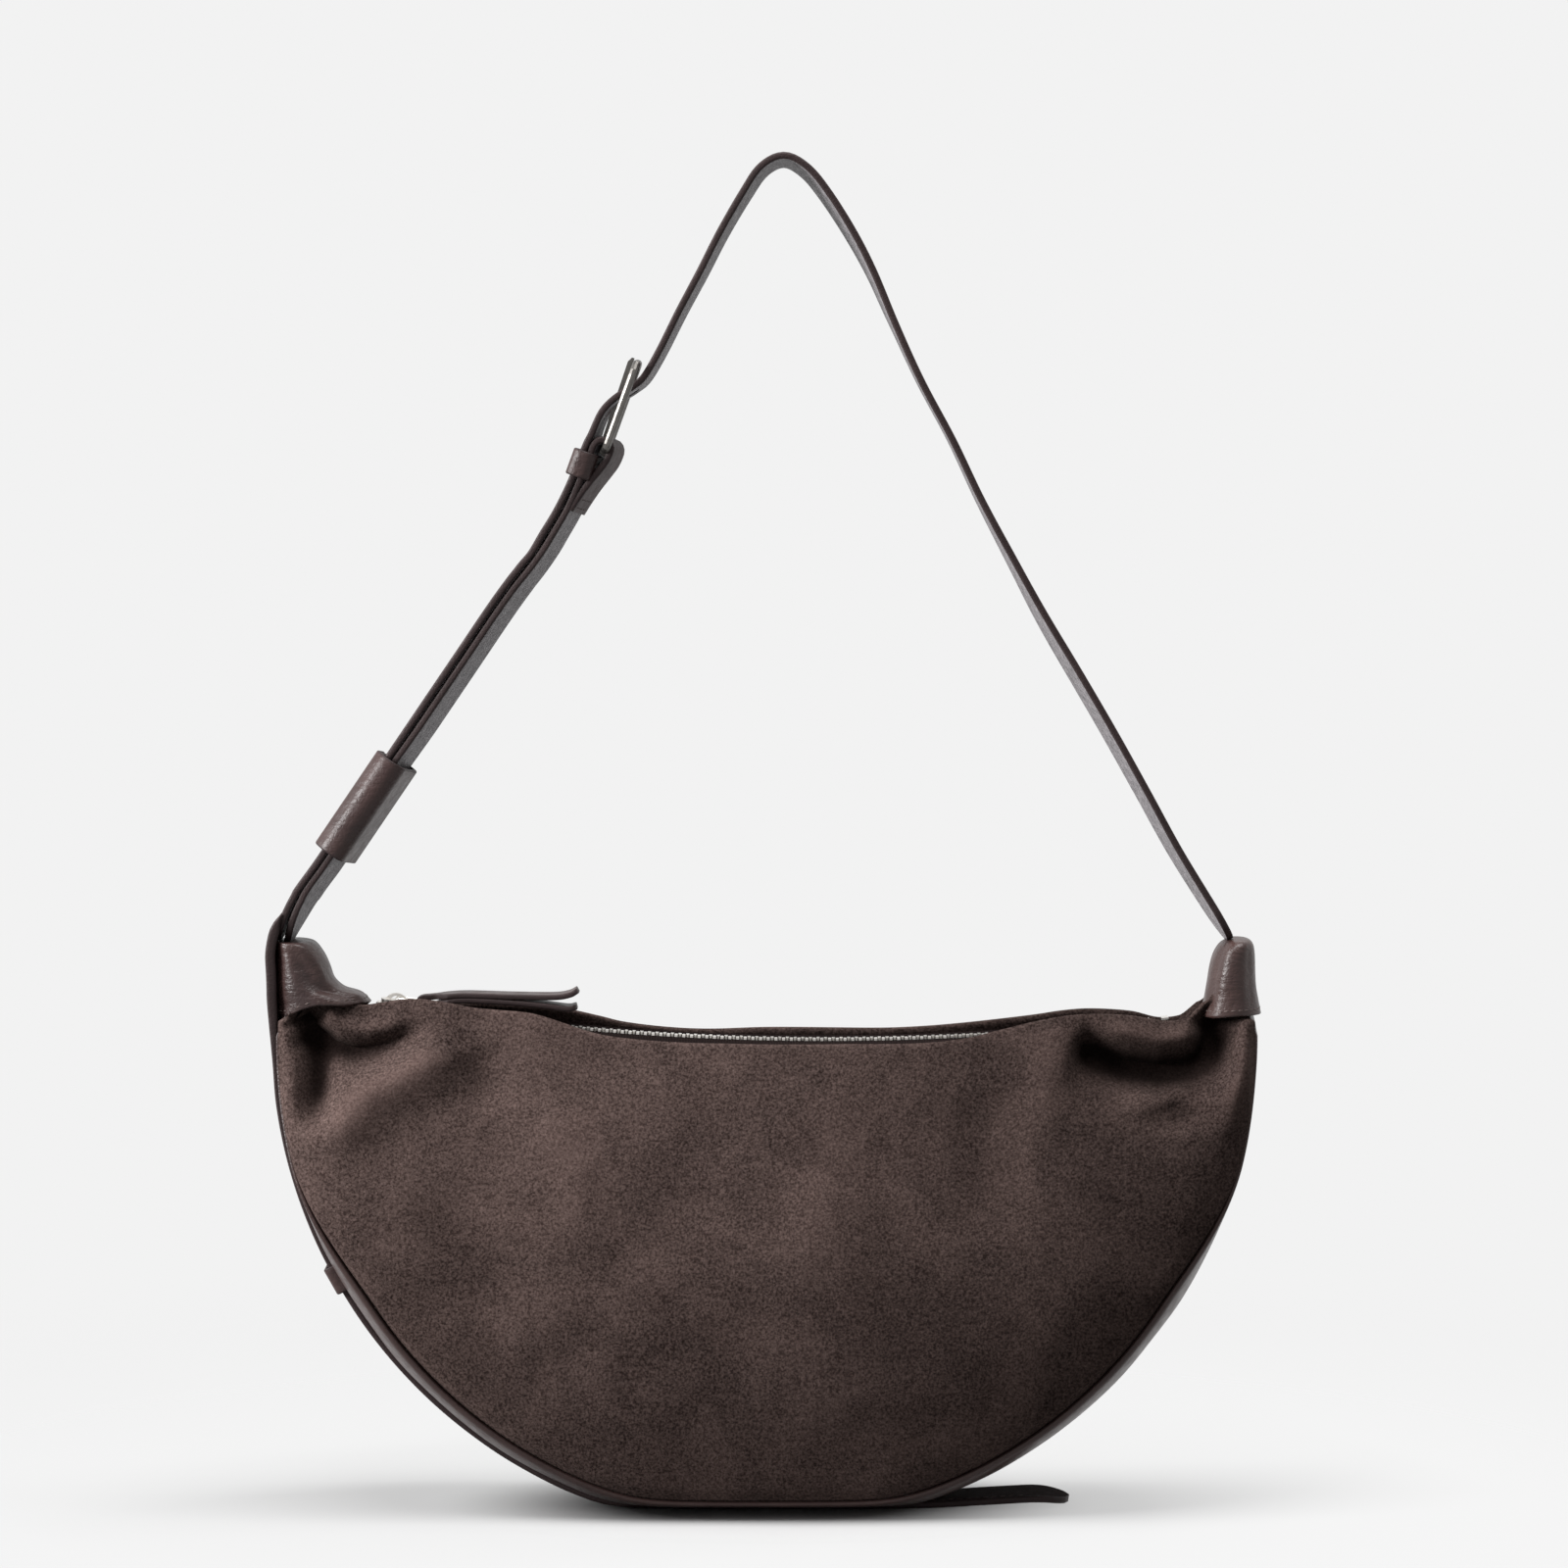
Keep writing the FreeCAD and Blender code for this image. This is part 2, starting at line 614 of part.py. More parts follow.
def make_strap_sleeve():
    """The long leather sleeve that slides on the two straight layers."""
    wide = STRAP_WIDTH + 2 * SLEEVE_SLACK
    high = STRAP_THICK + LAYER_PITCH + 2 * SLEEVE_SLACK
    loop = loop_round(SLEEVE_LENGTH, wide, high, SLEEVE_WALL)
    turn = math.degrees(math.atan2(RUN_DIR.z, RUN_DIR.x))
    loop.rotate(Vector(0, 0, 0), Vector(0, 1, 0), -turn)
    place = Vector(RUN_LOW_X, 0, RUN_LOW_Z) + RUN_DIR * SLEEVE_FROM_RUN_LOW
    loop.translate(place + RUN_IN * (LAYER_PITCH / 2))
    return loop


# The tail's stretch beside the cap, by share of the cap's height
TAIL_CAP_SHARES = [0.98, 0.7, 0.4, 0.1]
TAIL_ANGLE_SHARES = [-0.97, -0.91, -0.84, -0.77, -0.70, -0.62, -0.54, -0.46, -0.38, -0.31,
                     -0.25, -0.20]


def cap_outer_x(height_share):
    """How far out a cap's outer face stands; it leans in at the very top."""
    return HALF_LENGTH + CAP_PROUD - CAP_OUTER_LEAN * height_share**4


def make_strap_tail():
    """The strap's lower part: past the cap, round the belly and along the floor."""
    outlines = []
    for stand in (SEAM_GAP, SEAM_GAP + STRAP_THICK):
        points = []
        for share in TAIL_CAP_SHARES:
            z = CAP_RIM_Z + (CAP_TOP_Z - CAP_RIM_Z) * share
            points.append(Vector(-cap_outer_x(share) - stand, 0, z))
        level = SEAM_GAP + STRAP_THICK - stand
        for share in TAIL_ANGLE_SHARES:
            points.append(outline_point(share * math.pi / 2, -stand, level - BASE_Z))
        points.append(Vector(TAIL_TOUCH_X, 0, level))
        belly = curve_through(points)
        tip = Vector(TAIL_TIP_X, 0, level)
        outlines.append(belly.discretize(Number=3 * RIBBON_STATIONS) + [tip])
    band = across(outlines[0] + list(reversed(outlines[1])), STRAP_WIDTH)
    return band.cut(tail_tip_waste())


def tail_tip_waste():
    """What is cut away round the tail's pointed tip."""
    back = TAIL_TIP_X - TAIL_TIP_LENGTH
    half = STRAP_WIDTH / 2
    block = Part.makeBox(2 * TAIL_TIP_LENGTH, 2 * STRAP_WIDTH, 4 * STRAP_THICK)
    block.translate(Vector(back, -STRAP_WIDTH, -2 * STRAP_THICK))
    upper = Part.Arc(Vector(back, half, 0),
                     Vector(back + TAIL_TIP_LENGTH * TIP_ALONG_SHARE, half * TIP_WIDE_SHARE, 0),
                     Vector(TAIL_TIP_X, 0, 0)).toShape()
    lower = Part.Arc(Vector(TAIL_TIP_X, 0, 0),
                     Vector(back + TAIL_TIP_LENGTH * TIP_ALONG_SHARE, -half * TIP_WIDE_SHARE, 0),
                     Vector(back, -half, 0)).toShape()
    close = Part.LineSegment(Vector(back, -half, 0), Vector(back, half, 0)).toShape()
    tongue = Part.Face(Part.Wire([upper, lower, close]))
    tongue.translate(Vector(0, 0, -2 * STRAP_THICK))
    return block.cut(tongue.extrude(Vector(0, 0, 4 * STRAP_THICK)))


def make_gusset_keeper(gusset):
    """The loop sewn to the gusset, which holds the tail; its legs end on the gusset."""
    angle = -math.asin(GUSSET_KEEPER_SHARE)
    outward = Vector(math.sin(angle), 0, -math.cos(angle))
    stand = SEAM_GAP + STRAP_THICK / 2
    inside = STRAP_WIDTH + 2 * KEEPER_SLACK
    top = STRAP_THICK / 2 + KEEPER_SLACK
    low = top + stand + KEEPER_ROOT
    outer = loop_round(GUSSET_KEEPER_LENGTH, inside, 2 * top, KEEPER_WALL)
    root = Part.makeBox(GUSSET_KEEPER_LENGTH, inside + 2 * KEEPER_WALL, stand + KEEPER_ROOT)
    root.translate(Vector(0, -inside / 2 - KEEPER_WALL, 0))
    lower = Part.makeBox(GUSSET_KEEPER_LENGTH, 2 * inside, 2 * top)
    lower.translate(Vector(0, -inside, 0))
    hollow = Part.makeBox(GUSSET_KEEPER_LENGTH, inside, low)
    hollow.translate(Vector(0, -inside / 2, -top))
    loop = outer.cut(lower).fuse(root).cut(hollow)
    loop.translate(Vector(-GUSSET_KEEPER_LENGTH / 2, 0, 0))
    loop.rotate(Vector(0, 0, 0), Vector(0, 1, 0), -math.degrees(angle))
    loop.translate(outline_point(angle, 0, 0) + outward * stand)
    return loop.cut(gusset).removeSplitter()


# The end caps: height share, inner reach share and depth share of each section
CAP_HEIGHT_SHARES = [0.0, 0.22, 0.5, 0.8, 1.0]
LEFT_CAP_REACH = 27.5
LEFT_REACH_SHARES = [1.0, 0.86, 0.64, 0.54, 0.38]
RIGHT_CAP_REACH = 19.0
RIGHT_REACH_SHARES = [1.0, 0.92, 0.84, 0.78, 0.6]
CAP_OUTER_LEAN = 2.0
CAP_DEPTH = 16.5
CAP_DEPTH_SHARES = [1.0, 0.98, 0.94, 0.9, 0.82]


def rounded_ring(x0, x1, half, z, corner):
    """A level rectangle whose corners are rounded in short steps."""
    r = min(corner, half * CORNER_LIMIT_SHARE, (x1 - x0) / 2 * CORNER_LIMIT_SHARE)
    centres = [(x1 - r, half - r), (x0 + r, half - r), (x0 + r, r - half), (x1 - r, r - half)]
    points = []
    for quarter, (x, y) in enumerate(centres):
        for step in range(CORNER_STEPS + 1):
            angle = (quarter + step / CORNER_STEPS) * math.pi / 2
            points.append(Vector(x + r * math.cos(angle), y + r * math.sin(angle), z))
    return points


def make_end_cap(side, reach, reach_shares):
    """A leather hood over the gathered end, open below."""
    outer, inner = [], []
    for h, reach_share, depth_share in zip(CAP_HEIGHT_SHARES, reach_shares, CAP_DEPTH_SHARES):
        z = CAP_RIM_Z + (CAP_TOP_Z - CAP_RIM_Z) * h
        far = cap_outer_x(h)
        near = HALF_LENGTH - reach * reach_share
        half = CAP_DEPTH * depth_share
        x0, x1 = (near, far) if side > 0 else (-far, -near)
        outer.append(rounded_ring(x0, x1, half, z, CAP_CORNER))
        if h < 1:
            inner.append(rounded_ring(x0 + CAP_WALL, x1 - CAP_WALL, half - CAP_WALL,
                                      z, CAP_CORNER - CAP_WALL))
    top_z = CAP_TOP_Z - CAP_WALL
    inner.append([Vector(point.x, point.y, top_z) for point in inner[-1]])
    return facet_loft(outer).cut(facet_loft(inner))


def make_zip_tape(side, lip):
    """A tape from the teeth's roots out to the inside of the panel."""
    sections = []
    near = TOOTH_ROOT - TOOTH_GRIP + SEAM_GAP / 2
    far = LIP_HALF_GAP - SUEDE_THICK - SEAM_GAP
    for index in range(PANEL_STATIONS):
        x = ZIP_LEFT_X + (ZIP_RIGHT_X - ZIP_LEFT_X) * index / (PANEL_STATIONS - 1)
        z = zip_z(x)
        edge_z = min(z, lip_z(lip, x) - TAPE_THICK)
        flat = TOOTH_ROOT + SEAM_GAP
        half = TAPE_THICK / 2
        corners = [Vector(x, side * near, z - half), Vector(x, side * flat, z - half),
                   Vector(x, side * far, edge_z - half), Vector(x, side * far, edge_z + half),
                   Vector(x, side * flat, z + half), Vector(x, side * near, z + half)]
        sections.append(corners)
    return facet_loft(sections)


def tooth(side):
    """One tooth about the origin: a head past the middle and two legs on the tape."""
    half, thick = TOOTH_HEIGHT / 2, TOOTH_THICK / 2
    outline = [Vector(-thick, TOOTH_HEAD - TOOTH_NOSE, 0), Vector(-thick / 2, TOOTH_HEAD, 0),
               Vector(thick / 2, TOOTH_HEAD, 0), Vector(thick, TOOTH_HEAD - TOOTH_NOSE, 0),
               Vector(thick, -TOOTH_ROOT, 0), Vector(-thick, -TOOTH_ROOT, 0)]
    face = Part.Face(Part.makePolygon(outline + [outline[0]]))
    body = face.extrude(Vector(0, 0, TOOTH_HEIGHT))
    body.translate(Vector(0, 0, -half))
    slot_high = TAPE_THICK + 2 * GRIP_SLACK
    slot = Part.makeBox(2 * TOOTH_THICK, TOOTH_GRIP, slot_high)
    slot.translate(Vector(-TOOTH_THICK, -TOOTH_ROOT, -slot_high / 2))
    body = body.cut(slot)
    if side > 0:
        body = body.mirror(Vector(0, 0, 0), Vector(0, 1, 0))
    return body


def on_zip(shape, x):
    """Moves a shape from the origin to the zip's arc at x, turned with the arc."""
    angle = math.degrees(math.asin((x - ZIP_MID_X) / ZIP_RADIUS))
    shape.translate(Vector(ZIP_MID_X, 0, ZIP_LOW_Z))
    shape.rotate(ZIP_CENTRE, Vector(0, 1, 0), -angle)
    return shape


def make_zip_teeth(side):
    """A row of teeth; the back row stands half a pitch off, to interleave."""
    start = ZIP_LEFT_X + STOP_LENGTH + TOOTH_PITCH
    count = int((ZIP_RIGHT_X - STOP_LENGTH - start - TOOTH_PITCH) / TOOTH_PITCH)
    shift = TOOTH_PITCH / 2 if side > 0 else 0
    row = []
    for index in range(count):
        row.append(on_zip(tooth(side), start + shift + index * TOOTH_PITCH))
    return Part.makeCompound(row)


def stop_block(near, far):
    """A block across the zip, between two lengths from its middle."""
    length = STOP_LENGTH * STOP_FILL_SHARE
    body = Part.makeBox(length, far - near, TOOTH_HEIGHT)
    body.translate(Vector(-length / 2, near, -TOOTH_HEIGHT / 2))
    return body


def tape_room(side):
    """The room that a stop leaves for the tape on one side."""
    high = TAPE_THICK + 2 * GRIP_SLACK
    near = TOOTH_ROOT - TOOTH_GRIP
    room = Part.makeBox(STOP_LENGTH, 2 * TOOTH_ROOT, high)
    start = near if side > 0 else -near - 2 * TOOTH_ROOT
    room.translate(Vector(-STOP_LENGTH / 2, start, -high / 2))
    return room


def make_zip_top_stops():
    """Two small clamps, one on each tape."""
    stops = []
    for side in (-1, 1):
        near, far = (SEAM_GAP / 2, TOOTH_ROOT) if side > 0 else (-TOOTH_ROOT, -SEAM_GAP / 2)
        body = stop_block(near, far).cut(tape_room(side))
        stops.append(on_zip(body, ZIP_LEFT_X + STOP_LENGTH / 2))
    return Part.makeCompound(stops)


def make_zip_bottom_stop():
    """One clamp across both tapes."""
    body = stop_block(-TOOTH_ROOT, TOOTH_ROOT)
    for side in (-1, 1):
        body = body.cut(tape_room(side))
    return on_zip(body, ZIP_RIGHT_X - STOP_LENGTH / 2)


def slider_plate():
    """The slider's plan outline: a rounded shield, its nose to the left."""
    nose, tail = -SLIDER_LENGTH / 2, SLIDER_LENGTH / 2
    wide, slim = SLIDER_HALF_WIDTH, SLIDER_NOSE_HALF_WIDTH
    left = Part.Arc(Vector(nose + slim / 2, -wide, 0), Vector(nose, 0, 0),
                    Vector(nose + slim / 2, wide, 0)).toShape()
    top = Part.Arc(Vector(nose + slim / 2, wide, 0), Vector(0, wide - SEAM_GAP, 0),
                   Vector(tail, slim + SEAM_GAP, 0)).toShape()
    end = Part.LineSegment(Vector(tail, slim + SEAM_GAP, 0),
                           Vector(tail, -slim - SEAM_GAP, 0)).toShape()
    low = Part.Arc(Vector(tail, -slim - SEAM_GAP, 0), Vector(0, SEAM_GAP - wide, 0),
                   Vector(nose + slim / 2, -wide, 0)).toShape()
    return Part.Face(Part.Wire([left, top, end, low]))


def slider_half(up):
    """One plate with its rims, above or below the teeth."""
    clear = TOOTH_HEIGHT / 2 + SLIDER_SLACK
    plate = slider_plate().extrude(Vector(0, 0, SLIDER_PLATE))
    plate.translate(Vector(0, 0, clear))
    rim = slider_plate().extrude(Vector(0, 0, SLIDER_RIM))
    rim.translate(Vector(0, 0, clear - SLIDER_RIM))
    channel = Part.makeBox(2 * SLIDER_LENGTH, 2 * TOOTH_ROOT + 2 * SLIDER_SLACK, 2 * SLIDER_RIM)
    channel.translate(Vector(-SLIDER_LENGTH, -TOOTH_ROOT - SLIDER_SLACK, clear - SLIDER_RIM * 2))
    half = plate.fuse(rim.cut(channel)).removeSplitter()
    if not up:
        half = half.mirror(Vector(0, 0, 0), Vector(0, 0, 1))
    return half


def slider_top_z():
    return TOOTH_HEIGHT / 2 + SLIDER_SLACK + SLIDER_PLATE


def make_zip_slider_top():
    """The upper plate with the crown that holds the link."""
    top = slider_top_z()
    half = CROWN_LENGTH / 2
    rise = CROWN_CLEAR + CROWN_WALL
    outer = Part.Face(Part.Wire([
        Part.Arc(Vector(-half, 0, top), Vector(0, 0, top + rise), Vector(half, 0, top)).toShape(),
        Part.LineSegment(Vector(half, 0, top), Vector(-half, 0, top)).toShape()]))
    hole_half = half - 2 * CROWN_WALL
    inner = Part.Face(Part.Wire([
        Part.Arc(Vector(-hole_half, 0, top), Vector(0, 0, top + CROWN_CLEAR),
                 Vector(hole_half, 0, top)).toShape(),
        Part.LineSegment(Vector(hole_half, 0, top), Vector(-hole_half, 0, top)).toShape()]))
    crown = outer.cut(inner).extrude(Vector(0, CROWN_WIDTH, 0))
    crown.translate(Vector(0, -CROWN_WIDTH / 2, 0))
    return on_zip(slider_half(True).fuse(crown), SLIDER_X)


def make_zip_slider_bottom():
    return on_zip(slider_half(False), SLIDER_X)


def link_eye_z():
    return slider_top_z() + CROWN_CLEAR / 2


def make_pull_link():
    ring = wire_loop(LINK_LENGTH, LINK_HALF_WIDTH, LINK_CORNER, LINK_WIRE / 2)
    ring.translate(Vector(0, 0, link_eye_z()))
    return on_zip(ring, SLIDER_X)


def tab_neck_waste(side):
    """What is cut from the tab's side, so that its neck fits inside the link."""
    neck, wide = TAB_NECK_WIDTH / 2, TAB_WIDTH
    start, full = -2 * TAB_THICK - LINK_WIRE, TAB_NECK_LENGTH + TAB_TAPER_LENGTH
    outline = [Vector(start, side * neck, -wide), Vector(TAB_NECK_LENGTH, side * neck, -wide),
               Vector(full, side * TAB_WIDTH / 2, -wide), Vector(full, side * wide, -wide),
               Vector(start, side * wide, -wide)]
    face = Part.Face(Part.makePolygon(outline + [outline[0]]))
    return face.extrude(Vector(0, 0, 2 * wide))


def make_pull_tab():
    """One strip of leather folded over the link's far bar, its ends splayed."""
    turn = LINK_WIRE / 2 + PIN_SLACK + TAB_THICK / 2
    splay = math.radians(TAB_SPLAY_DEG / 2)
    upper = Vector(-turn * math.sin(splay), 0, turn * math.cos(splay))
    lower = Vector(upper.x, 0, -upper.z)
    out = Vector(math.cos(splay), 0, math.sin(splay)) * TAB_LENGTH
    back = Vector(out.x, 0, -out.z) * TAB_SHORT_SHARE
    legs = [Part.LineSegment(upper + out, upper),
            curve_through([upper, Vector(-turn, 0, 0), lower],
                          Vector(-out.x, 0, -out.z).normalize(), back.normalize()),
            Part.LineSegment(lower, lower + back)]
    strip = ribbon(legs, [1, 2 * RIBBON_STATIONS, 1], TAB_WIDTH, TAB_THICK)
    strip = strip.cut([tab_neck_waste(side) for side in (-1, 1)])
    slope = math.degrees(math.asin((SLIDER_X - ZIP_MID_X) / ZIP_RADIUS))
    strip.rotate(Vector(0, 0, 0), Vector(0, 1, 0), slope - TAB_RISE_DEG)
    strip.translate(Vector(LINK_LENGTH, 0, link_eye_z()))
    return on_zip(strip, SLIDER_X)


def main():
    os.makedirs("parts", exist_ok=True)
    gap = SUEDE_THICK + SEAM_GAP
    behind = SUEDE_THICK + LINING_GAP
    inner = GUSSET_THICK + SEAM_GAP
    gusset = gusset_strip(0, GUSSET_THICK, gap + SEAM_GAP, CAP_TOP_Z - 3 * CAP_WALL)
    save("front_panel", panel(-1, FRONT_LIP, lip_z, 0, SUEDE_THICK, 0))
    save("back_panel", panel(1, BACK_LIP, lip_z, 0, SUEDE_THICK, 0))
    save("gusset", gusset)
    save("front_lining", panel(-1, FRONT_LIP, lining_top_z, behind, LINING_THICK, 1))
    save("back_lining", panel(1, BACK_LIP, lining_top_z, behind, LINING_THICK, 1))
    save("gusset_lining", gusset_strip(inner, LINING_THICK, 2 * behind + LINING_THICK, None))
    save("front_zip_tape", make_zip_tape(-1, FRONT_LIP))
    save("back_zip_tape", make_zip_tape(1, BACK_LIP))
    save("front_zip_teeth", make_zip_teeth(-1))
    save("back_zip_teeth", make_zip_teeth(1))
    save("zip_top_stops", make_zip_top_stops())
    save("zip_bottom_stop", make_zip_bottom_stop())
    save("zip_slider_top", make_zip_slider_top())
    save("zip_slider_bottom", make_zip_slider_bottom())
    save("pull_link", make_pull_link())
    save("pull_tab", make_pull_tab())
    save("left_end_cap", make_end_cap(-1, LEFT_CAP_REACH, LEFT_REACH_SHARES))
    save("right_end_cap", make_end_cap(1, RIGHT_CAP_REACH, RIGHT_REACH_SHARES))
    save("strap_tail", make_strap_tail())
    save("gusset_keeper", make_gusset_keeper(gusset))
    save("strap_arch", make_strap_arch())
    save("buckle_strap", make_buckle_strap())
    save("buckle_frame", make_buckle_frame())
    save("buckle_prong", make_buckle_prong())
    save("buckle_keeper", make_buckle_keeper())
    save("strap_sleeve", make_strap_sleeve())


main()
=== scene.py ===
# %% [markdown]
# # A half-moon crossbody bag in suede and smooth leather
# The bag stands on its curved base with its strap raised. Its rigid core
# comes packed from CAD, and this file dresses it: suede panels with the folds
# of a soft bag, leather caps, a twisted strap, stitching, cloth and metal.
# Blender works in metres, with X right, Y back and Z up. A bag maker thinks
# in millimetres, so shapes are worked out in those and scaled at the end.

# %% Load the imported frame
import bisect
import math
import bmesh
import bpy
from mathutils import Matrix, Vector, noise


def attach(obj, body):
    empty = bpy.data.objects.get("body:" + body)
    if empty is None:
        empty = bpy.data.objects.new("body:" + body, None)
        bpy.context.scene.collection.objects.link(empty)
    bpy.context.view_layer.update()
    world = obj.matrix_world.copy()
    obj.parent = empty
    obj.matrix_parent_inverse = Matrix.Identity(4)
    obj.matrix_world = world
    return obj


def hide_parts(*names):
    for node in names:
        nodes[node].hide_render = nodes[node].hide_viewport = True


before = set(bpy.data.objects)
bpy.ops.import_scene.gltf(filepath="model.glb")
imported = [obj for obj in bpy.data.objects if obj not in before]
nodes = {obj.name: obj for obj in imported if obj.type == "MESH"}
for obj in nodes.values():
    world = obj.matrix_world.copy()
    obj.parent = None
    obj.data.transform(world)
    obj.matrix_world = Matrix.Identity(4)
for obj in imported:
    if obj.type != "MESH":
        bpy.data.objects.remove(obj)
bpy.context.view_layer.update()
MM = 0.001

# %% [markdown]
# ## Camera, floor and light
# The photograph is taken from the front with a long lens, a little above the
# middle of the bag. A long focal length keeps the sides nearly parallel, so
# the camera stands more than two metres away, and its lens is worked out from
# the width that it has to take in at the bag.

# %% Camera
CAMERA_SPOT = Vector((0.006, -2.2, 0.400))
CAMERA_AIM = Vector((0.006, 0.0, 0.252))
VIEW_WIDTH, SENSOR, FAR_CLIP = 0.544, 36.0, 30.0
camera_data = bpy.data.cameras.new("Front_Camera")
camera = bpy.data.objects.new("Front_Camera", camera_data)
bpy.context.scene.collection.objects.link(camera)
to_aim = CAMERA_AIM - CAMERA_SPOT
camera.location = CAMERA_SPOT
camera.rotation_euler = to_aim.to_track_quat("-Z", "Y").to_euler()
camera_data.sensor_width = SENSOR
camera_data.sensor_height = SENSOR
camera_data.lens = SENSOR * to_aim.length / VIEW_WIDTH
camera_data.clip_end = FAR_CLIP
bpy.context.scene.camera = camera
bpy.context.scene.view_settings.view_transform = "Standard"
print("lens", round(camera_data.lens, 1), "mm")

# %% [markdown]
# A material is a tree of nodes that ends in a shader. The helpers below make
# a material, add a node with its values set, and turn a colour as an image
# writes it into the linear light that the nodes work in.

# %% Helpers for node trees
def fresh_material(name):
    """A new material, its node tree and its shader."""
    material = bpy.data.materials.new(name)
    material.use_nodes = True
    tree = material.node_tree
    return material, tree, tree.nodes["Principled BSDF"]


def set_inputs(node, **values):
    """Sets inputs by their names, with an underscore for each space."""
    for key, value in values.items():
        node.inputs[key.replace("_", " ")].default_value = value


def add_node(tree, kind, **settings):
    """A new node: a setting is one of its inputs, or else one of its properties."""
    node = tree.nodes.new(kind)
    for key, value in settings.items():
        if key in node.inputs:
            node.inputs[key].default_value = value
        else:
            setattr(node, key, value)
    return node


def object_spot(tree):
    """The place on the piece, in its own coordinates, that textures are read at."""
    return tree.nodes.new("ShaderNodeTexCoord").outputs["Object"]


def combined(tree, operation, first, second):
    """Two values, each a node's output or a number, joined by an operation."""
    node = add_node(tree, "ShaderNodeMath", operation=operation)
    for socket, value in zip(node.inputs, (first, second)):
        if isinstance(value, float):
            socket.default_value = value
        else:
            tree.links.new(value, socket)
    return node.outputs[0]


def eased_range(tree, value, start, end, low=0.0, high=1.0):
    """Eases from low to high while the value goes from start to end."""
    node = add_node(tree, "ShaderNodeMapRange", interpolation_type="SMOOTHSTEP")
    set_inputs(node, From_Min=start, From_Max=end, To_Min=low, To_Max=high)
    tree.links.new(value, node.inputs["Value"])
    return node.outputs["Result"]


def linear(red, green, blue):
    """A colour as it is written in an image, 0 to 255, turned to linear light."""
    def one(value):
        share = value / 255
        return share / 12.92 if share <= 0.04045 else ((share + 0.055) / 1.055) ** 2.4
    return (one(red), one(green), one(blue), 1.0)


print("a middle grey of 128 is", round(linear(128, 128, 128)[0], 3), "in linear light")

# %% [markdown]
# The photograph's background is one even pale grey. Rays that come straight
# from the camera, through glass or off polished metal see that grey, and the
# rest see a dim white fill, so the background's brightness and the light on
# the bag can be chosen apart.

# %% World
PAPER = linear(242, 242, 242)
FILL_WHITE, FILL_STRENGTH = (1.0, 1.0, 1.0, 1.0), 0.20
world = bpy.data.worlds.new("Studio")
bpy.context.scene.world = world
world.use_nodes = True
wt = world.node_tree
wt.nodes.clear()
ray = wt.nodes.new("ShaderNodeLightPath").outputs
seen_ray = combined(wt, "MAXIMUM", ray["Is Camera Ray"], ray["Is Transmission Ray"])
seen_ray = combined(wt, "MAXIMUM", seen_ray, ray["Is Glossy Ray"])
seen = add_node(wt, "ShaderNodeBackground", Color=PAPER, Strength=1.0)
fill = add_node(wt, "ShaderNodeBackground", Color=FILL_WHITE, Strength=FILL_STRENGTH)
choice = wt.nodes.new("ShaderNodeMixShader")
wt.links.new(seen_ray, choice.inputs[0])
wt.links.new(fill.outputs[0], choice.inputs[1])
wt.links.new(seen.outputs[0], choice.inputs[2])
wt.links.new(choice.outputs[0], wt.nodes.new("ShaderNodeOutputWorld").inputs[0])
print("paper grey", round(PAPER[0], 3), "and fill", FILL_STRENGTH)

# %% [markdown]
# A pale disc under the bag takes its shadow. It is solid where the bag rests,
# more than half clear around that, which keeps the shadow as tight as in the
# photograph, and quite clear further out, where the plain grey takes over.

# %% Floor
FLOOR_COLOUR, FLOOR_ROUGHNESS = linear(221, 221, 221), 0.9
FLOOR_RADIUS, FLOOR_SIDES = 1.0, 64
FADE_START, FADE_END, CLEAR_BY_BAG = 0.22, 0.60, 0.62
PATCH_SCALE, PATCH_START, PATCH_END = (0.42, 0.66, 1.0), 0.020, 0.050


def distance_from_middle(tree, spot):
    """How far a place is from the middle of the floor."""
    length = add_node(tree, "ShaderNodeVectorMath", operation="LENGTH")
    tree.links.new(spot, length.inputs[0])
    return length.outputs["Value"]


floor_mesh = bpy.data.meshes.new("Floor")
bm = bmesh.new()
bmesh.ops.create_circle(bm, cap_ends=True, segments=FLOOR_SIDES, radius=FLOOR_RADIUS)
bm.to_mesh(floor_mesh)
bm.free()
floor = bpy.data.objects.new("Floor", floor_mesh)
bpy.context.scene.collection.objects.link(floor)
floor_material, ft, floor_shader = fresh_material("Pale_Floor")
set_inputs(floor_shader, Base_Color=FLOOR_COLOUR, Roughness=FLOOR_ROUGHNESS, Specular_IOR_Level=0.0)
floor_spot = object_spot(ft)
fade = eased_range(ft, distance_from_middle(ft, floor_spot), FADE_START, FADE_END, CLEAR_BY_BAG)
patch = add_node(ft, "ShaderNodeMapping", Scale=PATCH_SCALE)
ft.links.new(floor_spot, patch.inputs["Vector"])
off_patch = eased_range(ft, distance_from_middle(ft, patch.outputs["Vector"]), PATCH_START, PATCH_END)
floor_mix = ft.nodes.new("ShaderNodeMixShader")
ft.links.new(combined(ft, "MULTIPLY", fade, off_patch), floor_mix.inputs[0])
ft.links.new(floor_shader.outputs[0], floor_mix.inputs[1])
ft.links.new(ft.nodes.new("ShaderNodeBsdfTransparent").outputs[0], floor_mix.inputs[2])
ft.links.new(floor_mix.outputs[0], ft.nodes["Material Output"].inputs["Surface"])
floor.data.materials.append(floor_material)
print("floor fades out between", FADE_START, "and", FADE_END, "m")

# %% [markdown]
# Two soft lamps stand in for a photo studio: a square one at the left front,
# which lets the bag's right side fall off into shade, and a wide strip above,
# which lights the floor and draws the sheen along the strap and the caps.
# Light linking keeps the left lamp off the floor, so it stays evenly pale.

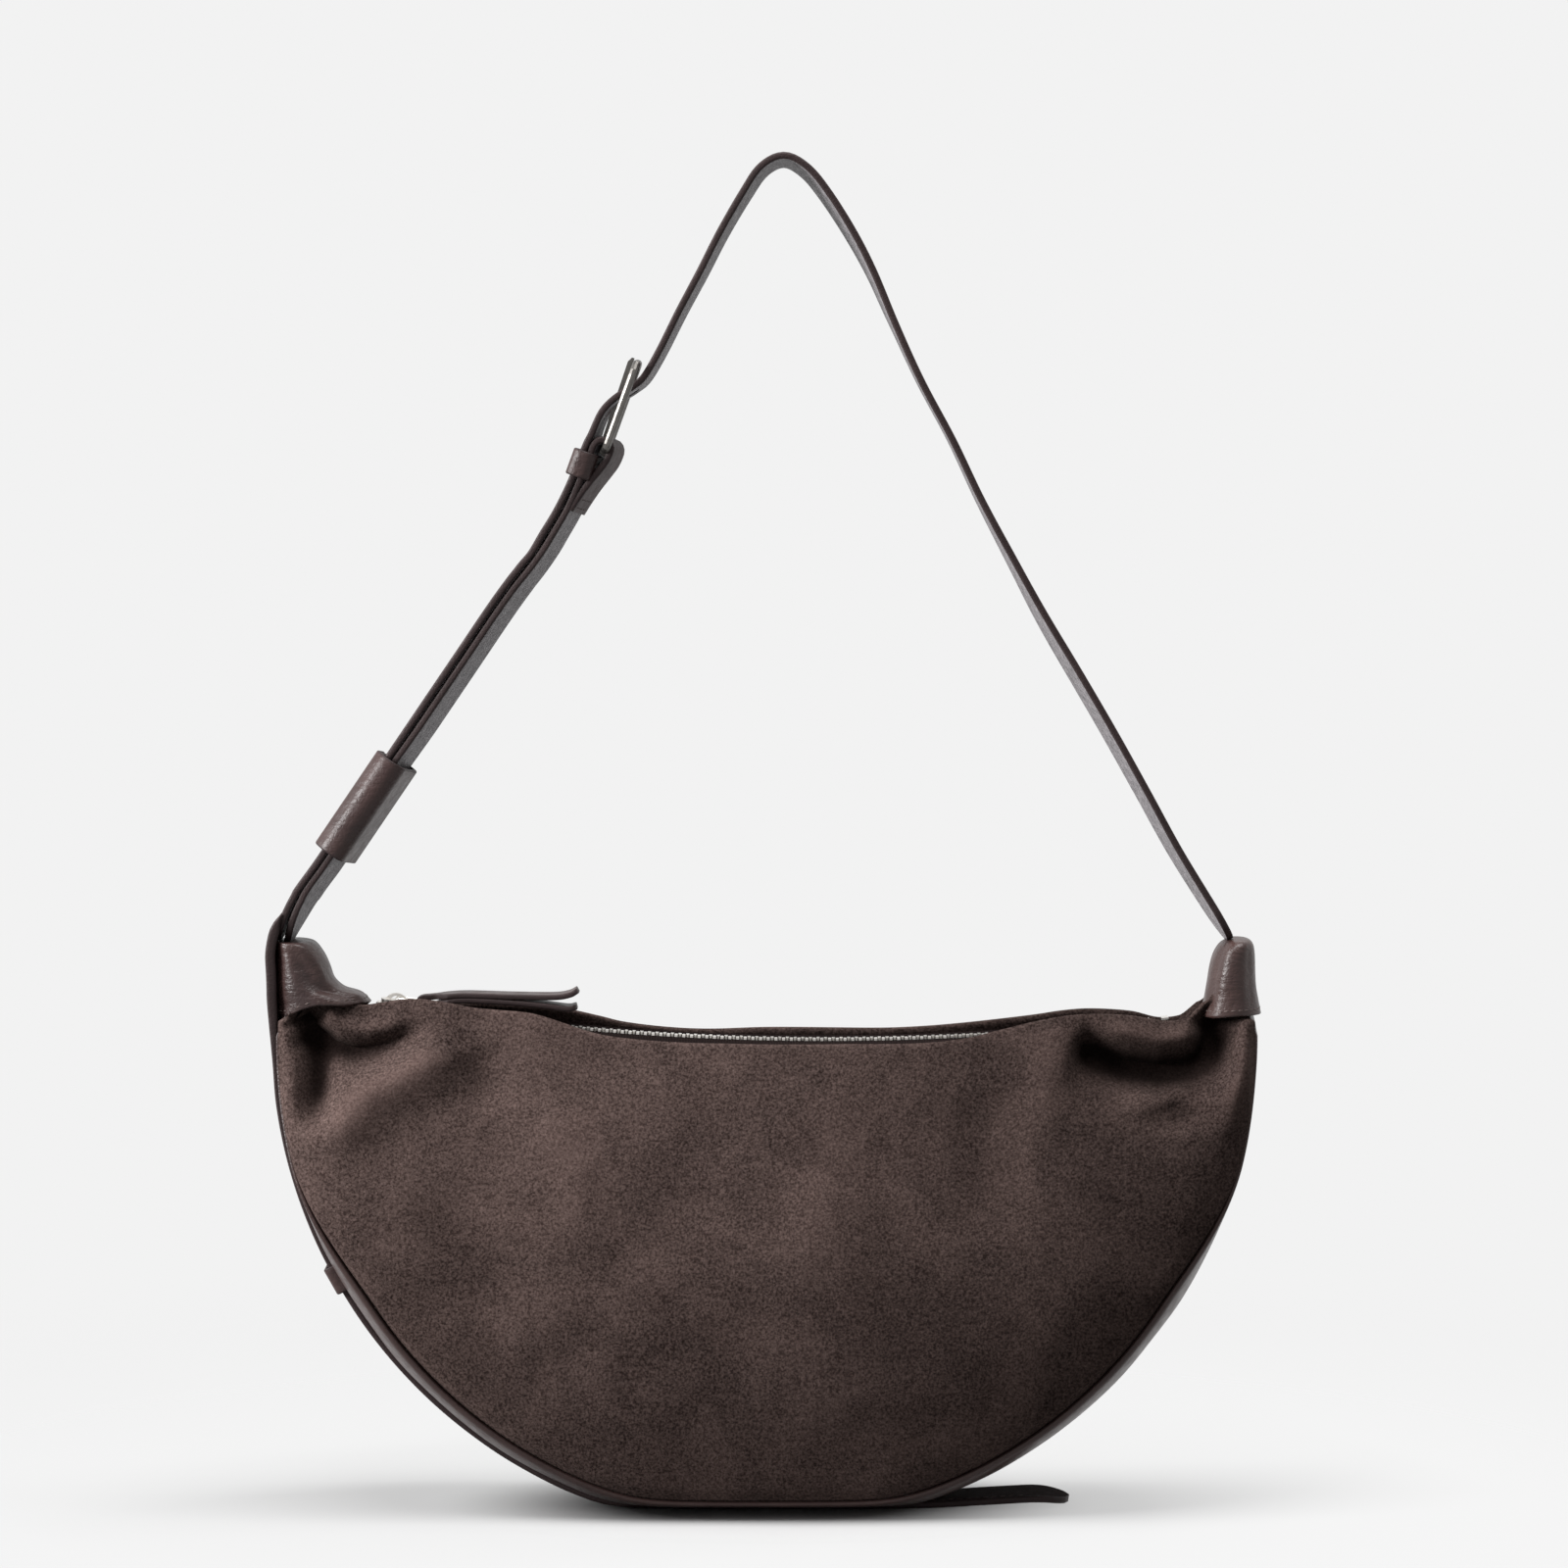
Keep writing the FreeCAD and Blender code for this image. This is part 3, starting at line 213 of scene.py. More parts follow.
# %% Lamps
KEY_SPOT, KEY_AIM = Vector((-1.9, -0.50, 0.9)), Vector((0.0, 0.0, 0.12))
KEY_SIDE, KEY_POWER = 0.9, 88.0
TOP_SPOT, TOP_AIM = Vector((0.1, -0.2, 2.0)), Vector((0.0, 0.0, 0.2))
TOP_LENGTH, TOP_WIDTH, TOP_POWER = 1.6, 0.8, 52.0


def soft_lamp(name, spot, aim, width, height, power):
    """A rectangle of light at a spot, facing its aim."""
    data = bpy.data.lights.new(name, "AREA")
    data.shape = "RECTANGLE"
    data.size, data.size_y = width, height
    data.energy = power
    lamp = bpy.data.objects.new(name, data)
    lamp.location = spot
    lamp.rotation_euler = (aim - spot).to_track_quat("-Z", "Y").to_euler()
    bpy.context.scene.collection.objects.link(lamp)
    return lamp


key = soft_lamp("Key_Left", KEY_SPOT, KEY_AIM, KEY_SIDE, KEY_SIDE, KEY_POWER)
soft_lamp("Top_Strip", TOP_SPOT, TOP_AIM, TOP_LENGTH, TOP_WIDTH, TOP_POWER)
not_lit_by_key = bpy.data.collections.new("Not_Lit_By_Key")
not_lit_by_key.objects.link(floor)
key.light_linking.receiver_collection = not_lit_by_key
not_lit_by_key.collection_objects[0].light_linking.link_state = "EXCLUDE"
print("two lamps; the key lamp leaves out the floor")

# %% [markdown]
# ## Making pieces
# Every leather or cloth piece here starts as a flat grid, the way a pattern
# is cut from a hide, and the grid's corners are then carried to their place
# in space. The grid's own coordinates stay with it as a UV map, so a weave
# can follow the cloth. Rolled up until two edges meet, a grid is a strap.

# %% Helpers for pieces
def finish_piece(name, bm, materials, body, stands_for=()):
    """Makes an object of a bmesh, and says what it rides on and which nodes it stands for."""
    mesh = bpy.data.meshes.new(name)
    bm.to_mesh(mesh)
    bm.free()
    piece = bpy.data.objects.new(name, mesh)
    bpy.context.scene.collection.objects.link(piece)
    for material in materials:
        piece.data.materials.append(material)
    for face in piece.data.polygons:
        face.use_smooth = True
    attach(piece, body)
    if stands_for:
        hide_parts(*stands_for)
    return piece


def carried_grid(columns, rows, place):
    """A grid whose corner at shares u and v goes to place(u, v), in millimetres."""
    bm = bmesh.new()
    bm.loops.layers.uv.new("UVMap")
    bmesh.ops.create_grid(bm, x_segments=columns, y_segments=rows, size=0.5, calc_uvs=True)
    for vert in bm.verts:
        u, v = vert.co.x + 0.5, vert.co.y + 0.5
        vert.co = place(u, v) * MM
    return bm


def closed_tube(around, along, place, ends=True):
    """A grid rolled up until its two long edges meet, its ends filled."""
    bm = carried_grid(around, along, place)
    bmesh.ops.remove_doubles(bm, verts=bm.verts, dist=1e-6)
    if ends:
        open_edges = [edge for edge in bm.edges if edge.is_boundary]
        bmesh.ops.holes_fill(bm, edges=open_edges)
    bmesh.ops.recalc_face_normals(bm, faces=bm.faces)
    return bm


def add_thickness(piece, thickness, offset=-1.0):
    """Gives a sheet its thickness, all of it inwards unless an offset says otherwise."""
    solidify = piece.modifiers.new("Thickness", "SOLIDIFY")
    solidify.thickness = thickness * MM
    solidify.offset = offset


def ease(share):
    """0 below 0, 1 above 1, and a soft S between them."""
    share = max(0.0, min(1.0, share))
    return share * share * (3 - 2 * share)


print("a quarter of the way eases to", ease(0.25))

# %% [markdown]
# A strap's line, a lip or a table of turns is given by a few listed points. A
# Catmull-Rom curve is the simplest smooth line that passes through all of
# them, so each point is a place that can be seen in the photograph.

# %% A smooth route through listed points
def step_below(values, target):
    """The index of the step of a rising list that a target lies in."""
    return max(0, min(len(values) - 2, bisect.bisect_right(values, target) - 1))


class Route:
    """A smooth line through points, measured along its length in millimetres."""

    def __init__(self, points, steps=14):
        points = [Vector(p) for p in points]
        ends = [points[0] * 2 - points[1]] + points + [points[-1] * 2 - points[-2]]
        self.points = []
        for i in range(1, len(ends) - 2):
            a, b, c, d = ends[i - 1:i + 3]
            for step in range(steps):
                t = step / steps
                self.points.append(0.5 * ((2 * b) + (c - a) * t + (2 * a - 5 * b + 4 * c - d) * t**2
                                          + (3 * b - a - 3 * c + d) * t**3))
        self.points.append(points[-1])
        self.lengths = [0.0]
        for a, b in zip(self.points, self.points[1:]):
            self.lengths.append(self.lengths[-1] + (b - a).length)
        self.total = self.lengths[-1]
        self.xs = [point.x for point in self.points]

    def at(self, length):
        """The place and the direction at a length along the route."""
        length = max(0.0, min(self.total, length))
        low = step_below(self.lengths, length)
        high = low + 1
        span = self.lengths[high] - self.lengths[low] or 1.0
        t = (length - self.lengths[low]) / span
        before = self.points[max(low - 1, 0)]
        after = self.points[min(high + 1, len(self.points) - 1)]
        return self.points[low].lerp(self.points[high], t), (after - before).normalized()

    def z_at(self, x):
        """The height of a route that runs left to right, at an x."""
        low = step_below(self.xs, x)
        a, b = self.points[low], self.points[low + 1]
        t = (x - a.x) / (b.x - a.x) if b.x > a.x else 0.0
        return a.z + (b.z - a.z) * max(0.0, min(1.0, t))

    def length_near(self, spot):
        """The length along the route at which it passes nearest to a spot."""
        nearest = min(range(len(self.points)), key=lambda i: (self.points[i] - spot).length)
        return self.lengths[nearest]


def in_plane(pairs):
    """Points of the bag's middle plane, given as pairs of x and z."""
    return [Vector((x, 0, z)) for x, z in pairs]


print("a route over a 3-4-5 corner is", round(Route(in_plane([(0, 0), (3, 4)])).total, 3), "long")

# %% [markdown]
# ## The bag's shape
# The bag is a half moon. Its side outline is nearly half an ellipse, whose
# bottom the floor flattens. The panels are sewn to the gusset a little inside
# that outline, and the bag is deep at its belly and narrow at its neck.

# %% Outline and depth of the bag
HALF_LENGTH, SHOULDER_Z, BELLY_DROP, BASE_Z = 169.0, 165.0, 171.0, 2.5
SEAM_INSET, SEAM_INSET_AT_CAPS, SEAM_LIFT = 6.8, 0.9, 3.8
SEAM_TURN_START, SEAM_TURN_SPAN = 0.98, 0.34
FLOOR_SOFTNESS, NO_MORE_SOFTNESS = 1.5, 30
BASE_HALF_DEPTH, NECK_HALF_DEPTH, NECK_START_Z, NECK_Z = 33.0, 13.0, 75.0, 172.6
ZIP_CENTRE_X, ZIP_CENTRE_Z, ZIP_RADIUS = 20.5, 1112.3, 950.0
LIP_HALF_GAP = 10.5


def seam_inset(angle):
    """The seam lies inside the outline below, and moves out to it near the caps."""
    moved = ease((abs(angle) - SEAM_TURN_START) / SEAM_TURN_SPAN)
    return SEAM_INSET - (SEAM_INSET - SEAM_INSET_AT_CAPS) * moved


def soft_floor(z, level):
    """A height held above a level, with a soft bend where it meets it."""
    excess = (level - z) / FLOOR_SOFTNESS
    return level if excess > NO_MORE_SOFTNESS else z + FLOOR_SOFTNESS * math.log(1 + math.exp(excess))


def outline(angle, inset=0.0, lift=0.0):
    """A point of the side outline, at an angle from straight down."""
    x = (HALF_LENGTH - inset) * math.sin(angle)
    z = SHOULDER_Z - (BELLY_DROP - inset) * math.cos(angle)
    return Vector((x, 0.0, soft_floor(z, BASE_Z + lift)))


def half_depth(z):
    """Half the gusset's width at a height."""
    share = ease((z - NECK_START_Z) / (NECK_Z - NECK_START_Z))
    return BASE_HALF_DEPTH + (NECK_HALF_DEPTH - BASE_HALF_DEPTH) * share


def zip_z(x):
    """The height of the zip, which sags on a wide arc."""
    return ZIP_CENTRE_Z - math.sqrt(ZIP_RADIUS**2 - (x - ZIP_CENTRE_X)**2)


print("zip sags to", round(zip_z(ZIP_CENTRE_X), 1), "mm above the floor")

# %% [markdown]
# The two lips don't follow the zip evenly. In use they have taken waves: they
# stand over the slider at the left, sink along the middle so that the teeth
# show, and rise again towards the right cap.

# %% Lips
FRONT_LIP = Route(in_plane([
    (-163, 186), (-156, 184), (-150, 181), (-145, 178), (-140.5, 176.2), (-134, 176.8), (-128, 177.8),
    (-121.2, 178.2), (-112, 177.2), (-102, 175.2), (-91.6, 174.2), (-83, 173.4), (-76, 171.7), (-66, 168.3),
    (-57, 165.7), (-46, 164.2), (-30, 163.1), (-13.7, 162.7), (2.5, 162.4), (24, 162.5), (50, 162.8),
    (66.8, 164.2), (80.1, 167.2), (92, 170.2), (104, 172.4), (114, 173.0), (125, 172.6), (132.8, 171.4),
    (139, 170.6), (145, 171.4), (151, 175.0), (156.5, 180.5), (163, 186)]))
BACK_LIP = Route(in_plane([
    (-163, 186), (-156, 183), (-149, 178), (-140, 174.4), (-132, 174.0), (-122, 174.9), (-108, 175.2),
    (-96, 175.0), (-80, 174.2), (-69.2, 172.6), (-58, 170.0), (-49.5, 168.0), (-34.1, 166.2), (-20.3, 165.6),
    (1.2, 166.2), (35.2, 165.9), (52, 166.4), (68.9, 167.8), (91.5, 170.4), (104, 172.2), (114.1, 172.8),
    (127, 172.0), (137, 169.8), (146, 171.2), (153, 176.4), (163, 186)]))
print("lip lengths", round(FRONT_LIP.total), round(BACK_LIP.total))

# %% [markdown]
# ## Folds
# Suede that is gathered into a small cap can't lie flat. At each end it sinks
# into a valley with soft ridges beside it. Each fold is a route over the
# panel with a depth and a width, and a panel's point moves in or out by how
# near it lies to the folds. A ridge is a fold with a negative depth.

# %% How a fold moves the leather
def fold(points, depth, width, far_width=None, start=0.0, end=0.0, overhang=0.0):
    """A fold: where it runs, its depth inwards, a width on each side, and how it fades and hangs.

    It runs through its points (x, z). It fades in over the first share, start, and out
    over the last, end. Its upper side hangs over by the overhang.
    """
    return {"points": [Vector(pair) for pair in points], "depth": depth, "width": width,
            "far": far_width or width, "start": start, "end": end, "overhang": overhang}


def nearest_on_fold(item, here):
    """How far a place is from a fold, on which side of it, and at which share of its run."""
    distance, side, share = math.inf, 1.0, 0.0
    points = item["points"]
    count = len(points) - 1
    for index in range(count):
        a, b = points[index], points[index + 1]
        along = b - a
        t = max(0.0, min(1.0, (here - a).dot(along) / along.length_squared))
        gap = here - (a + along * t)
        if gap.length < distance:
            distance, side, share = gap.length, along.x * gap.y - along.y * gap.x, (index + t) / count
    return distance, side, share


def fold_sink(folds, x, z):
    """How far the folds together push a point at x, z inwards, and how far down."""
    total, drop = 0.0, 0.0
    for item in folds:
        distance, side, share = nearest_on_fold(item, Vector((x, z)))
        reach = distance / (item["width"] if side >= 0 else item["far"])
        strength = math.exp(-reach ** 2)
        if item["start"]:
            strength *= ease(share / item["start"])
        if item["end"]:
            strength *= ease((1 - share) / item["end"])
        total += item["depth"] * strength
        if side >= 0:
            drop += item["overhang"] * 2.0 * reach * strength
    return total, drop


slope = fold([(0, 0), (10, 0)], 5.0, 4.0)
print("a 5 mm fold still sinks", round(fold_sink([slope], 5, 4)[0], 2), "mm at one width from its line")

# %% [markdown]
# The front's folds are read from the photograph: a flap over a dark valley at
# the left cap, a long black valley under the rolled lip at the right one, and
# broad soft waves between them. The back isn't seen, so it gets a few of the
# same kind.

# %% The folds of the two panels
FRONT_FOLDS = [
    # left end: a flap that hangs from the cap over a dark valley, and the ridge beside it
    fold([(-161.5, 176), (-155.5, 168.8), (-149.5, 163.8), (-143, 161.6), (-136, 161.6), (-128, 164),
          (-120, 167.6), (-112, 171)], 11.0, 4.2, 6.0, 0.05, 0.62, 2.6),
    fold([(-158, 170), (-154.8, 161), (-154.6, 150), (-156, 139), (-158, 130)], 11.0, 5.0, 5.5, 0.15, 0.5),
    fold([(-152, 126), (-146, 137), (-137, 147), (-126, 153), (-114, 159), (-108, 168)],
         -4.0, 7.0, 9.5, 0.25, 0.3),
    fold([(-155, 176), (-148, 169), (-140, 167), (-130, 169), (-121, 172)], -2.6, 3.6, 3.4, 0.15, 0.3),
    fold([(-104, 162), (-99, 150), (-98, 138)], 2.6, 8.0, 9.0, 0.3, 0.5),
    # right end: the long black valley below the rolled lip, turning up to the cap
    fold([(105, 163.5), (113, 160.5), (124, 157.0), (136, 155.3), (146, 156.4), (151.8, 160.5),
          (154.6, 167.5), (155.8, 177)], 17.0, 5.0, 8.0, 0.14, 0.06, 3.0),
    fold([(110, 169.5), (124, 167.5), (136, 164.5), (146, 166), (150, 171)], -3.6, 4.2, 4.2, 0.25, 0.2),
    fold([(100, 172), (99, 160), (97, 145), (92, 128)], -2.8, 9.0, 9.0, 0.15, 0.5),
    fold([(140, 147), (143, 139), (144, 131)], 3.6, 8.0, 8.5, 0.35, 0.5),
    fold([(163, 178), (163.5, 166), (163.5, 155), (161, 140), (154, 124)], -4.6, 5.0, 6.0, 0.1, 0.45),
    fold([(118, 146), (132, 144), (146, 144), (155, 140)], -2.0, 6.5, 6.0, 0.3, 0.4),
    # the broad soft waves of the middle
    fold([(-75, 152), (-62, 120), (-58, 84)], -2.0, 15.0, 17.0, 0.3, 0.4),
    fold([(12, 158), (24, 126), (20, 92), (6, 60)], -1.6, 17.0, 15.0, 0.25, 0.4),
    fold([(-18, 154), (-28, 122), (-22, 86)], 1.8, 15.0, 14.0, 0.3, 0.4),
    fold([(66, 150), (78, 120), (72, 84)], 2.0, 14.0, 16.0, 0.3, 0.4),
    fold([(-120, 118), (-104, 92), (-80, 62)], 1.8, 14.0, 12.0, 0.3, 0.4),
]
BACK_FOLDS = [
    fold([(-158, 176), (-155, 160), (-156, 142), (-160, 126)], 9.0, 7.0, 10.0, 0.1, 0.4),
    fold([(-146, 132), (-132, 149), (-114, 163)], -4.0, 12.0, 10.0, 0.3, 0.35),
    fold([(108, 164), (124, 158), (140, 156), (152, 163), (158, 174)], 11.0, 7.0, 10.0, 0.15, 0.12),
    fold([(140, 146), (145, 132)], 4.0, 9.0, 9.0, 0.3, 0.4),
]
print(len(FRONT_FOLDS), "front folds,", len(BACK_FOLDS), "back folds")

# %% [markdown]
# ## Textures
# Noise is the base of every natural finish here. It is read at a scale, and a
# colour ramp then stretches a part of its range from black to white, or from
# one colour to another. A mix node lays one colour over another.

# %% Helpers for textures
BLACK, WHITE = (0.0, 0.0, 0.0, 1.0), (1.0, 1.0, 1.0, 1.0)


def mix_colours(tree, factor, first, second, kind="MIX"):
    """The second colour laid over the first by a factor; each may be a node's output."""
    mix = add_node(tree, "ShaderNodeMix", data_type="RGBA", blend_type=kind)
    for socket, value in ((mix.inputs[0], factor), (mix.inputs[6], first), (mix.inputs[7], second)):
        if isinstance(value, (float, tuple)):
            socket.default_value = value
        else:
            tree.links.new(value, socket)
    return mix.outputs[2]


def noise_at(tree, vector, scale, detail=2.0, roughness=0.5, distortion=0.0):
    """Soft noise, 0 to 1, with about scale waves to the metre."""
    node = add_node(tree, "ShaderNodeTexNoise", Scale=scale, Detail=detail,
                    Roughness=roughness, Distortion=distortion)
    tree.links.new(vector, node.inputs["Vector"])
    return node.outputs["Fac"]


def ramp(tree, value, low, high, low_colour=BLACK, high_colour=WHITE):
    """One colour below low, another above high, and a blend between them."""
    node = tree.nodes.new("ShaderNodeValToRGB")
    first, last = node.color_ramp.elements
    first.position, first.color = low, low_colour
    last.position, last.color = high, high_colour
    tree.links.new(value, node.inputs["Fac"])
    return node.outputs["Color"]


def add_bump(tree, height, strength, distance, below=None):
    """A bumped normal from a height, laid on another normal if one is given."""
    bump = add_node(tree, "ShaderNodeBump", Strength=strength, Distance=distance)
    tree.links.new(height, bump.inputs["Height"])
    if below:
        tree.links.new(below, bump.inputs["Normal"])
    return bump.outputs["Normal"]


def grey(value):
    """A grey that a ramp gives as a plain number."""
    return (value, value, value, 1.0)


print("noise, ramp, mix and bump; the scene has", len(bpy.data.materials), "materials so far")

# %% [markdown]
# ## Suede
# Suede is leather with its napped side out. Light scatters in the nap, so it
# has no highlight, and brushing leaves lighter and darker clouds. Noise at
# three scales gives the clouds, the blotches and the speckle of the fibres.
# Each panel carries its fold depth as an attribute that the colour follows:
# painted shade darkens the suede down in a fold, and painted light makes it
# pale along a ridge. Painted shade also darkens the suede towards the right.

# %% Suede
DARK_CLOUD, PALE_CLOUD, BLOTCH = linear(38, 29, 27), linear(83, 68, 64), linear(84, 68, 64)
DARK_FIBRE, PALE_FIBRE = linear(18, 12, 11), linear(133, 114, 109)
FOLD_SHADE, RIDGE_LIGHT = linear(20, 14, 13), linear(138, 114, 108)
CLOUD_SCALE, BLOTCH_SCALE, SPECKLE_SCALE, NAP_SCALE = 21.0, 62.0, 1100.0, 700.0
BLOTCHED, DARKENED, LIGHTENED, MOST_FOLD_SHADE, MOST_RIDGE_LIGHT = 0.35, 0.62, 0.36, 0.86, 0.34
SHADE_FROM_X, SHADE_TO_X, RIGHT_SHADE_SHARE = -0.10, 0.15, 0.62
SHEEN, SHEEN_SPREAD, SHEEN_TINT = 0.08, 0.45, linear(196, 178, 170)
NAP_BUMP, NAP_DEPTH = 0.5, 0.0006
suede, st, suede_shader = fresh_material("Brown_Suede")
coords = object_spot(st)
clouds = ramp(st, noise_at(st, coords, CLOUD_SCALE, 6.0, 0.66, 1.0), 0.40, 0.62)
blotches = ramp(st, noise_at(st, coords, BLOTCH_SCALE, 5.0, 0.7, 0.5), 0.34, 0.68)
speckle = ramp(st, noise_at(st, coords, SPECKLE_SCALE, 4.0, 0.75), 0.38, 0.68)
hide = mix_colours(st, clouds, DARK_CLOUD, PALE_CLOUD)
hide = mix_colours(st, mix_colours(st, BLOTCHED, BLACK, blotches), hide, BLOTCH)
dark_nap = mix_colours(st, DARKENED, hide, DARK_FIBRE)
pale_nap = mix_colours(st, LIGHTENED, hide, PALE_FIBRE)
nap_and_shade = mix_colours(st, speckle, dark_nap, pale_nap)
# Painted shade down in the folds and painted light along the ridges, both read from the fold depth
fold_depth = add_node(st, "ShaderNodeAttribute", attribute_name="Fold_Depth").outputs["Fac"]
nap_and_shade = mix_colours(st, ramp(st, fold_depth, 0.06, 0.62, BLACK, grey(MOST_FOLD_SHADE)), nap_and_shade, FOLD_SHADE)
ridge_height = combined(st, "MULTIPLY", fold_depth, -1.0)
nap_and_shade = mix_colours(st, ramp(st, ridge_height, 0.05, 0.45, BLACK, grey(MOST_RIDGE_LIGHT)), nap_and_shade, RIDGE_LIGHT)
# Painted shade that darkens the suede towards the right, by its x
split = st.nodes.new("ShaderNodeSeparateXYZ")
st.links.new(coords, split.inputs[0])
right_shade = eased_range(st, split.outputs["X"], SHADE_FROM_X, SHADE_TO_X, 1.0, RIGHT_SHADE_SHARE)
nap_and_shade = mix_colours(st, 1.0, nap_and_shade, right_shade, "MULTIPLY")
st.links.new(nap_and_shade, suede_shader.inputs["Base Color"])
set_inputs(suede_shader, Roughness=0.95, Specular_IOR_Level=0.0)
set_inputs(suede_shader, Sheen_Weight=SHEEN, Sheen_Roughness=SHEEN_SPREAD, Sheen_Tint=SHEEN_TINT)
nap_bump = add_bump(st, noise_at(st, coords, NAP_SCALE, 4.0, 0.75), NAP_BUMP, NAP_DEPTH)
st.links.new(nap_bump, suede_shader.inputs["Normal"])
print("suede of", len(st.nodes), "nodes")

# %% [markdown]
# ## Smooth leather
# The gusset, caps, strap and tabs are smooth leather in the same brown. It
# has a fine pebbled grain and a soft broken highlight. The grain is a cell
# pattern, small and shallow, and a stretched noise adds fine level wrinkles.
# The straps' flesh side is paler and mottled, and on the long and short straps
# its grey is raised further as painted light. Their cut edges are painted.

# %% Smooth leathers
GRAIN_DEPTH, WRINKLE_DEPTH, WRINKLE_STRETCH, WRINKLE_SCALE = 0.0003, 0.0010, (1.0, 1.0, 3.2), 120.0
SHINE_SCALE, SHINIER, DULLER, PEBBLE_EDGE = 260.0, 0.06, 0.08, 0.22


def leather_material(name, colour, pale, roughness, grain=520.0, bump=0.16, gloss=0.16, mottle=45.0,
                     wrinkle=0.16):
    """A leather between two colours, with its roughness, grain, gloss, mottle and wrinkles."""
    material, tree, shader = fresh_material(name)
    spot = object_spot(tree)
    shade = ramp(tree, noise_at(tree, spot, mottle, 4.0, 0.6), 0.3, 0.72)
    tree.links.new(mix_colours(tree, shade, colour, pale), shader.inputs["Base Color"])
    rough = ramp(tree, noise_at(tree, spot, SHINE_SCALE, 3.0), 0.25, 0.75,
                 grey(roughness - SHINIER), grey(roughness + DULLER))
    tree.links.new(rough, shader.inputs["Roughness"])
    set_inputs(shader, Specular_IOR_Level=gloss)
    cells = add_node(tree, "ShaderNodeTexVoronoi", Scale=grain, feature="DISTANCE_TO_EDGE")
    tree.links.new(spot, cells.inputs["Vector"])
    pebbles = add_bump(tree, ramp(tree, cells.outputs["Distance"], 0.0, PEBBLE_EDGE), bump, GRAIN_DEPTH)
    stretched = add_node(tree, "ShaderNodeMapping", Scale=WRINKLE_STRETCH)
    tree.links.new(spot, stretched.inputs["Vector"])
    wrinkles = noise_at(tree, stretched.outputs["Vector"], WRINKLE_SCALE, 4.0, 0.6, 0.5)
    tree.links.new(add_bump(tree, wrinkles, wrinkle, WRINKLE_DEPTH, pebbles), shader.inputs["Normal"])
    return material


leather = leather_material("Brown_Leather", linear(42, 29, 28), linear(58, 41, 39), 0.42,
                           gloss=0.30, wrinkle=0.42)
cap_leather = leather_material("Cap_Leather", linear(43, 29, 28), linear(60, 42, 39), 0.40,
                               gloss=0.34, wrinkle=0.62)
gusset_leather = leather_material("Gusset_Leather", linear(50, 36, 34), linear(63, 48, 46), 0.34, gloss=0.22)
strap_leather = leather_material("Strap_Leather", linear(54, 43, 43), linear(70, 57, 57), 0.58)
# The flesh side's own paler tone, brightened further as painted light on the straps' inner faces
strap_inside = leather_material("Strap_Inside", linear(80, 77, 79), linear(144, 139, 142), 0.48, 700.0, 0.5,
                                mottle=420.0)
tail_inside = leather_material("Tail_Inside", linear(36, 29, 29), linear(48, 40, 40), 0.95, 700.0, 0.3, 0.05)
edge_paint = leather_material("Painted_Edge", linear(40, 31, 31), linear(54, 43, 43), 0.5, 900.0, 0.2)
print("seven leathers ready")

# %% [markdown]
# ## Cloth
# The lining and the zip's tapes are woven. Two wave patterns, one turned a
# quarter, cross on the piece's own UV map, so the weave bends with the cloth
# instead of passing through it.

# %% Cloths
WEAVE_BUMP, WEAVE_DEPTH, WEAVE_WAVER = 0.6, 0.0004, 0.4


def cloth_material(name, colour, pale, threads):
    """A plain weave between two colours, with a number of threads over the map."""
    material, tree, shader = fresh_material(name)
    uv = tree.nodes.new("ShaderNodeTexCoord").outputs["UV"]
    heights = []
    for turn in (0.0, math.pi / 2):
        turned = add_node(tree, "ShaderNodeMapping", Rotation=(0.0, 0.0, turn))
        tree.links.new(uv, turned.inputs["Vector"])
        wave = add_node(tree, "ShaderNodeTexWave", Scale=threads, Distortion=WEAVE_WAVER)
        tree.links.new(turned.outputs["Vector"], wave.inputs["Vector"])
        heights.append(wave.outputs["Fac"])
    weave = mix_colours(tree, 0.5, heights[0], heights[1])
    tree.links.new(mix_colours(tree, weave, colour, pale), shader.inputs["Base Color"])
    set_inputs(shader, Roughness=1.0, Specular_IOR_Level=0.0)
    tree.links.new(add_bump(tree, weave, WEAVE_BUMP, WEAVE_DEPTH), shader.inputs["Normal"])
    return material


lining_cloth = cloth_material("Lining_Cloth", linear(52, 43, 41), linear(66, 56, 53), 60.0)
tape_cloth = cloth_material("Tape_Cloth", linear(26, 21, 21), linear(40, 33, 32), 90.0)
print("two cloths ready")

# %% [markdown]
# ## Metal and thread
# The zip is bright nickel and the buckle a darker, worn one. Both are nearly
# colourless, and fine handling marks break up what they mirror. The thread is
# a dull twisted cotton a shade lighter than the leather.

# %% Nickel and thread
WORN_SHADE, WORN_ROUGHER, MARK_SCALE, SCUFF_SCALE, TWIST_SCALE = 0.78, 0.14, 500.0, 800.0, 1400.0
ZIP_METAL_NODES = ("front_zip_teeth", "back_zip_teeth", "zip_top_stops", "zip_bottom_stop",
                   "zip_slider_top", "zip_slider_bottom", "pull_link")
BUCKLE_METAL_NODES = ("buckle_frame", "buckle_prong")


def nickel_material(name, colour, roughness):
    """Nickel with a colour and a roughness, and marks that are a little darker and duller."""
    material, tree, shader = fresh_material(name)
    spot = object_spot(tree)
    set_inputs(shader, Metallic=1.0)
    worn_colour = tuple(WORN_SHADE * c for c in colour[:3]) + (1.0,)
    worn = ramp(tree, noise_at(tree, spot, MARK_SCALE, 3.0), 0.3, 0.75, colour, worn_colour)
    tree.links.new(worn, shader.inputs["Base Color"])
    rough = ramp(tree, noise_at(tree, spot, SCUFF_SCALE, 2.0), 0.3, 0.7,
                 grey(roughness), grey(roughness + WORN_ROUGHER))
    tree.links.new(rough, shader.inputs["Roughness"])
    return material


